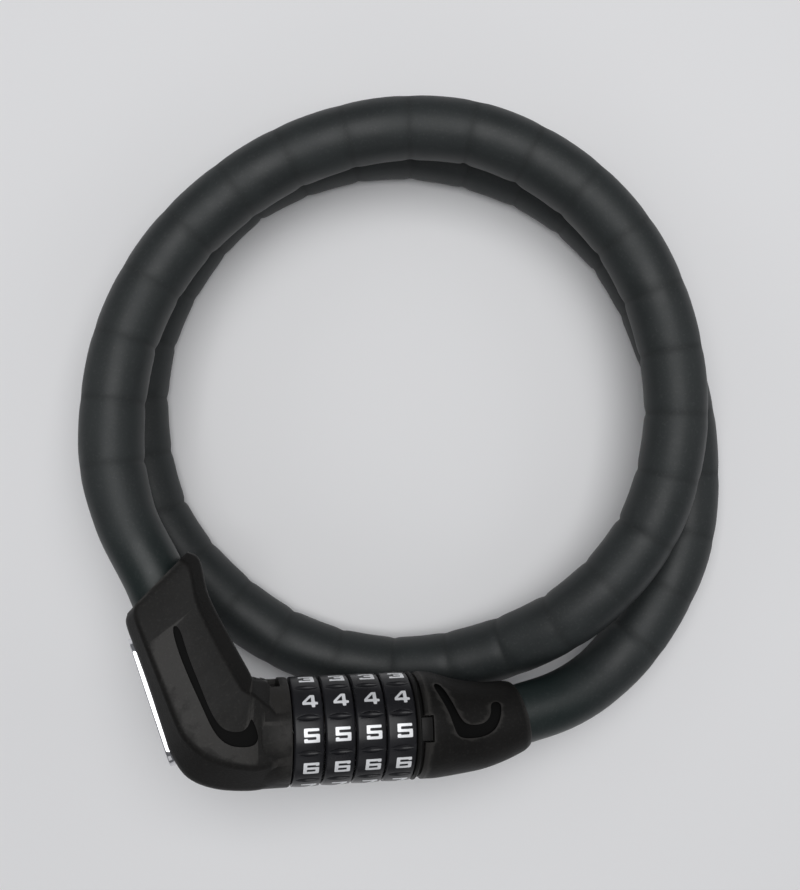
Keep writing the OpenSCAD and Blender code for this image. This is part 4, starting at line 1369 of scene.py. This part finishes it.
class LOCK_OT_index_ring(bpy.types.Operator):
    """Adds the index ring with its tab"""

    bl_idname = "cable_lock.index_ring"
    bl_label = "Index ring"

    def execute(self, context):
        s = STACK_HALF
        bore = SLEEVE_R + 0.05
        ring = turned(
            "index_band",
            [
                (s, bore), (s, WHEEL_R - 0.5), (s + 0.5, WHEEL_R), (s + INDEX_T - 0.9, WHEEL_R),
                (s + INDEX_T, WHEEL_R - 0.9), (s + INDEX_T, bore),
            ],
            160,
        )
        tab = rod("tab", WHEEL_R, INDEX_END - 0.7, INDEX_END + TAB_L, sides=160)
        limits = block("tab_box", (s, -TAB_HALF, WHEEL_R - TAB_SINK), (s + 30, TAB_HALF, WHEEL_R + 5))
        combine(tab, limits, "INTERSECT")
        combine(ring, tab, "UNION")
        cut(ring, block("tooth_slot", (0, -SLOT_W / 2, 0), (60, SLOT_W / 2, TOOTH_R + 0.3)))
        clean(ring, 1e-3)
        softened(ring, 0.1)
        set_in_lock(ring, "lock_body", finish_named("satin_black"), "index_black", "index_ring")
        return {"FINISHED"}


# ---- plug ------------------------------------------------------------------

U_OUT = [
    (18.6, 9.6), (20.3, 6.1), (21.6, 3.2), (22.4, 0.5), (23.3, -1.8), (24.9, -2.7), (28.6, -2.8), (31.2, -2.2),
    (33.2, -0.8), (34.6, 2), (35, 4.9),
]
U_IN = [(32.4, 4.9), (32, 2.2), (30.7, 0.7), (28.8, 0.1), (25.7, 0.4), (24.2, 2.1), (23, 5), (20.8, 9.6)]
PLUG_SCREWS = [(PLUG_START + 4.6, 9.3), (PLUG_START + 4.6, -9.8)]

# Rings of the plug's skin: share of the way to the mouth, radius, and drop below the line to the mouth.
PLUG = [
    (0, WHEEL_R - 0.7, 0), (0.03, WHEEL_R - 0.05, 0), (0.17, WHEEL_R - 0.3, 0.4), (0.38, WHEEL_R - 1.4, 1.2),
    (0.58, WHEEL_R - 2.2, 1.5), (0.75, WHEEL_R - 2.9, 1.1), (0.88, MOUTH_R + 0.8, 0.5),
    (0.95, MOUTH_R + 0.35, 0.2), (0.985, MOUTH_R - 0.05, 0), (1, MOUTH_R - 0.4, 0),
]
PLUG_SIDES = 128
TURN_FROM = 0.5


def plug_skin(name, inset=0.0):
    """The plug's outside, bent towards the cable."""
    stations = [Vector(p) for p in PLUG]
    rings = []
    for share, radius, drop in [stations[0], *spline(stations[1:-2], 5), *stations[-2:]]:
        turn = PLUG_TURN * max(0.0, share - TURN_FROM) / (1 - TURN_FROM)
        x = PLUG_START + share * (PLUG_MOUTH[0] - PLUG_START)
        y = PLUG_MOUTH[1] * share - drop
        ring = []
        for k in range(PLUG_SIDES):
            angle = 2 * math.pi * (k + 0.5) / PLUG_SIDES
            wide = (radius - inset) * math.cos(angle)
            ring.append(
                Vector((x - wide * math.sin(turn), y + wide * math.cos(turn), (radius - inset) * math.sin(angle)))
            )
        rings.append(ring)
    return skinned(name, rings)


def plug_bores():
    """What is bored out of the plug for the barrel's end, the insert, the cable and the index tab."""
    start, seat = PLUG_FERRULE_AT - END_CLEAR, -PLUG_SEAT_L - SEAT_GAP
    insert_end = INSERT_START + INSERT_L + SEAT_GAP
    return [
        rod("nose_bore", SLEEVE_R + CLIP_RIM + 0.9, PLUG_START - 1, INSERT_START + SEAT_GAP),
        rod("insert_bore", INSERT_R + SEAT_GAP, INSERT_START - SEAT_GAP, insert_end),
        rod("plug_flange_bore", PLUG_FLANGE_R + PIECE_CLEAR, start, start + PLUG_FLANGE_T + 2 * END_CLEAR, ON_PLUG),
        rod("plug_ferrule_bore", PLUG_FERRULE_R + PIECE_CLEAR, start, start + PLUG_FERRULE_L + 1, ON_PLUG),
        rod("plug_cable_bore", CABLE_BORE, seat, seat + 40, ON_PLUG),
        block(
            "tab_notch",
            (PLUG_START - 1, -TAB_HALF - TAB_CLEAR, WHEEL_R - TAB_SINK - TAB_CLEAR),
            (INDEX_END + TAB_L + TAB_CLEAR, TAB_HALF + TAB_CLEAR, WHEEL_R + 6),
        ),
    ]


class LOCK_OT_plug(bpy.types.Operator):
    """Adds the plug's front and rear covers"""

    bl_idname = "cable_lock.plug"
    bl_label = "Plug housing"

    def execute(self, context):
        settings = context.scene.lock_housing
        blank = plug_skin("plug_blank")
        cut(blank, *plug_bores())
        bore_screws(blank, PLUG_SCREWS, shaft=0.85, tip=4.5, head=1.4, seat=4)
        relief = prism("u_relief", flowing([(x, y, 0) for x, y in U_OUT + U_IN]), 2, 2 + WHEEL_R)
        cut(relief, plug_skin("u_floor", settings.plug_relief / MM))
        make_covers("plug", blank, relief, "plug", settings.edge / MM)
        return {"FINISHED"}


# ---- inner metal -----------------------------------------------------------

INNER_FINISHES = {
    "screw": ("elbow_screws", "plug_screws"),
    "cast_zinc": ("barrel_sleeve", "plug_insert"),
    "spring": ("detent_leaf", "wave_washer", "retaining_ring", "bolt_pin"),
    "brass": ("thrust_washer", "code_ring_1", "code_ring_2", "code_ring_3", "code_ring_4"),
    "ground_steel": ("locking_bolt", "elbow_ferrule", "plug_ferrule"),
}


class LOCK_OT_inner_metal(bpy.types.Operator):
    """Gives the pieces inside the barrel and the housings their metals"""

    bl_idname = "cable_lock.inner_metal"
    bl_label = "Inner metal"

    def execute(self, context):
        for finish, names in INNER_FINISHES.items():
            for name in names:
                dress(NODES[name], finish_named(finish))
        return {"FINISHED"}


# ---- panel -----------------------------------------------------------------

ORDER = ("stage", "cable", "elbow", "badge", "slider", "wheels", "digits", "index_ring", "plug", "inner_metal")


class LOCK_PT_panel(bpy.types.Panel):
    """Lists the lock's pieces"""

    bl_idname = "LOCK_PT_panel"
    bl_label = "Cable lock"
    bl_space_type = "VIEW_3D"
    bl_region_type = "UI"
    bl_category = "Cable lock"

    def draw(self, context):
        for name in ORDER:
            self.layout.operator(f"cable_lock.{name}")


CLASSES = (
    CableSettings, HousingSettings, WheelSettings, StageSettings,
    LOCK_OT_stage, LOCK_OT_cable, LOCK_OT_elbow, LOCK_OT_badge, LOCK_OT_slider, LOCK_OT_wheels,
    LOCK_OT_digits, LOCK_OT_index_ring, LOCK_OT_plug, LOCK_OT_inner_metal, LOCK_PT_panel,
)
SETTINGS = {
    "lock_cable": CableSettings, "lock_housing": HousingSettings, "lock_wheel": WheelSettings,
    "lock_stage": StageSettings,
}


def register():
    for item in CLASSES:
        bpy.utils.register_class(item)
    for name, group in SETTINGS.items():
        setattr(bpy.types.Scene, name, PointerProperty(type=group))


def unregister():
    for name in SETTINGS:
        delattr(bpy.types.Scene, name)
    for item in reversed(CLASSES):
        bpy.utils.unregister_class(item)


def main():
    register()
    for name in ORDER:
        getattr(bpy.ops.cable_lock, name)()
    clear_selection()


if __name__ == "__main__":
    main()
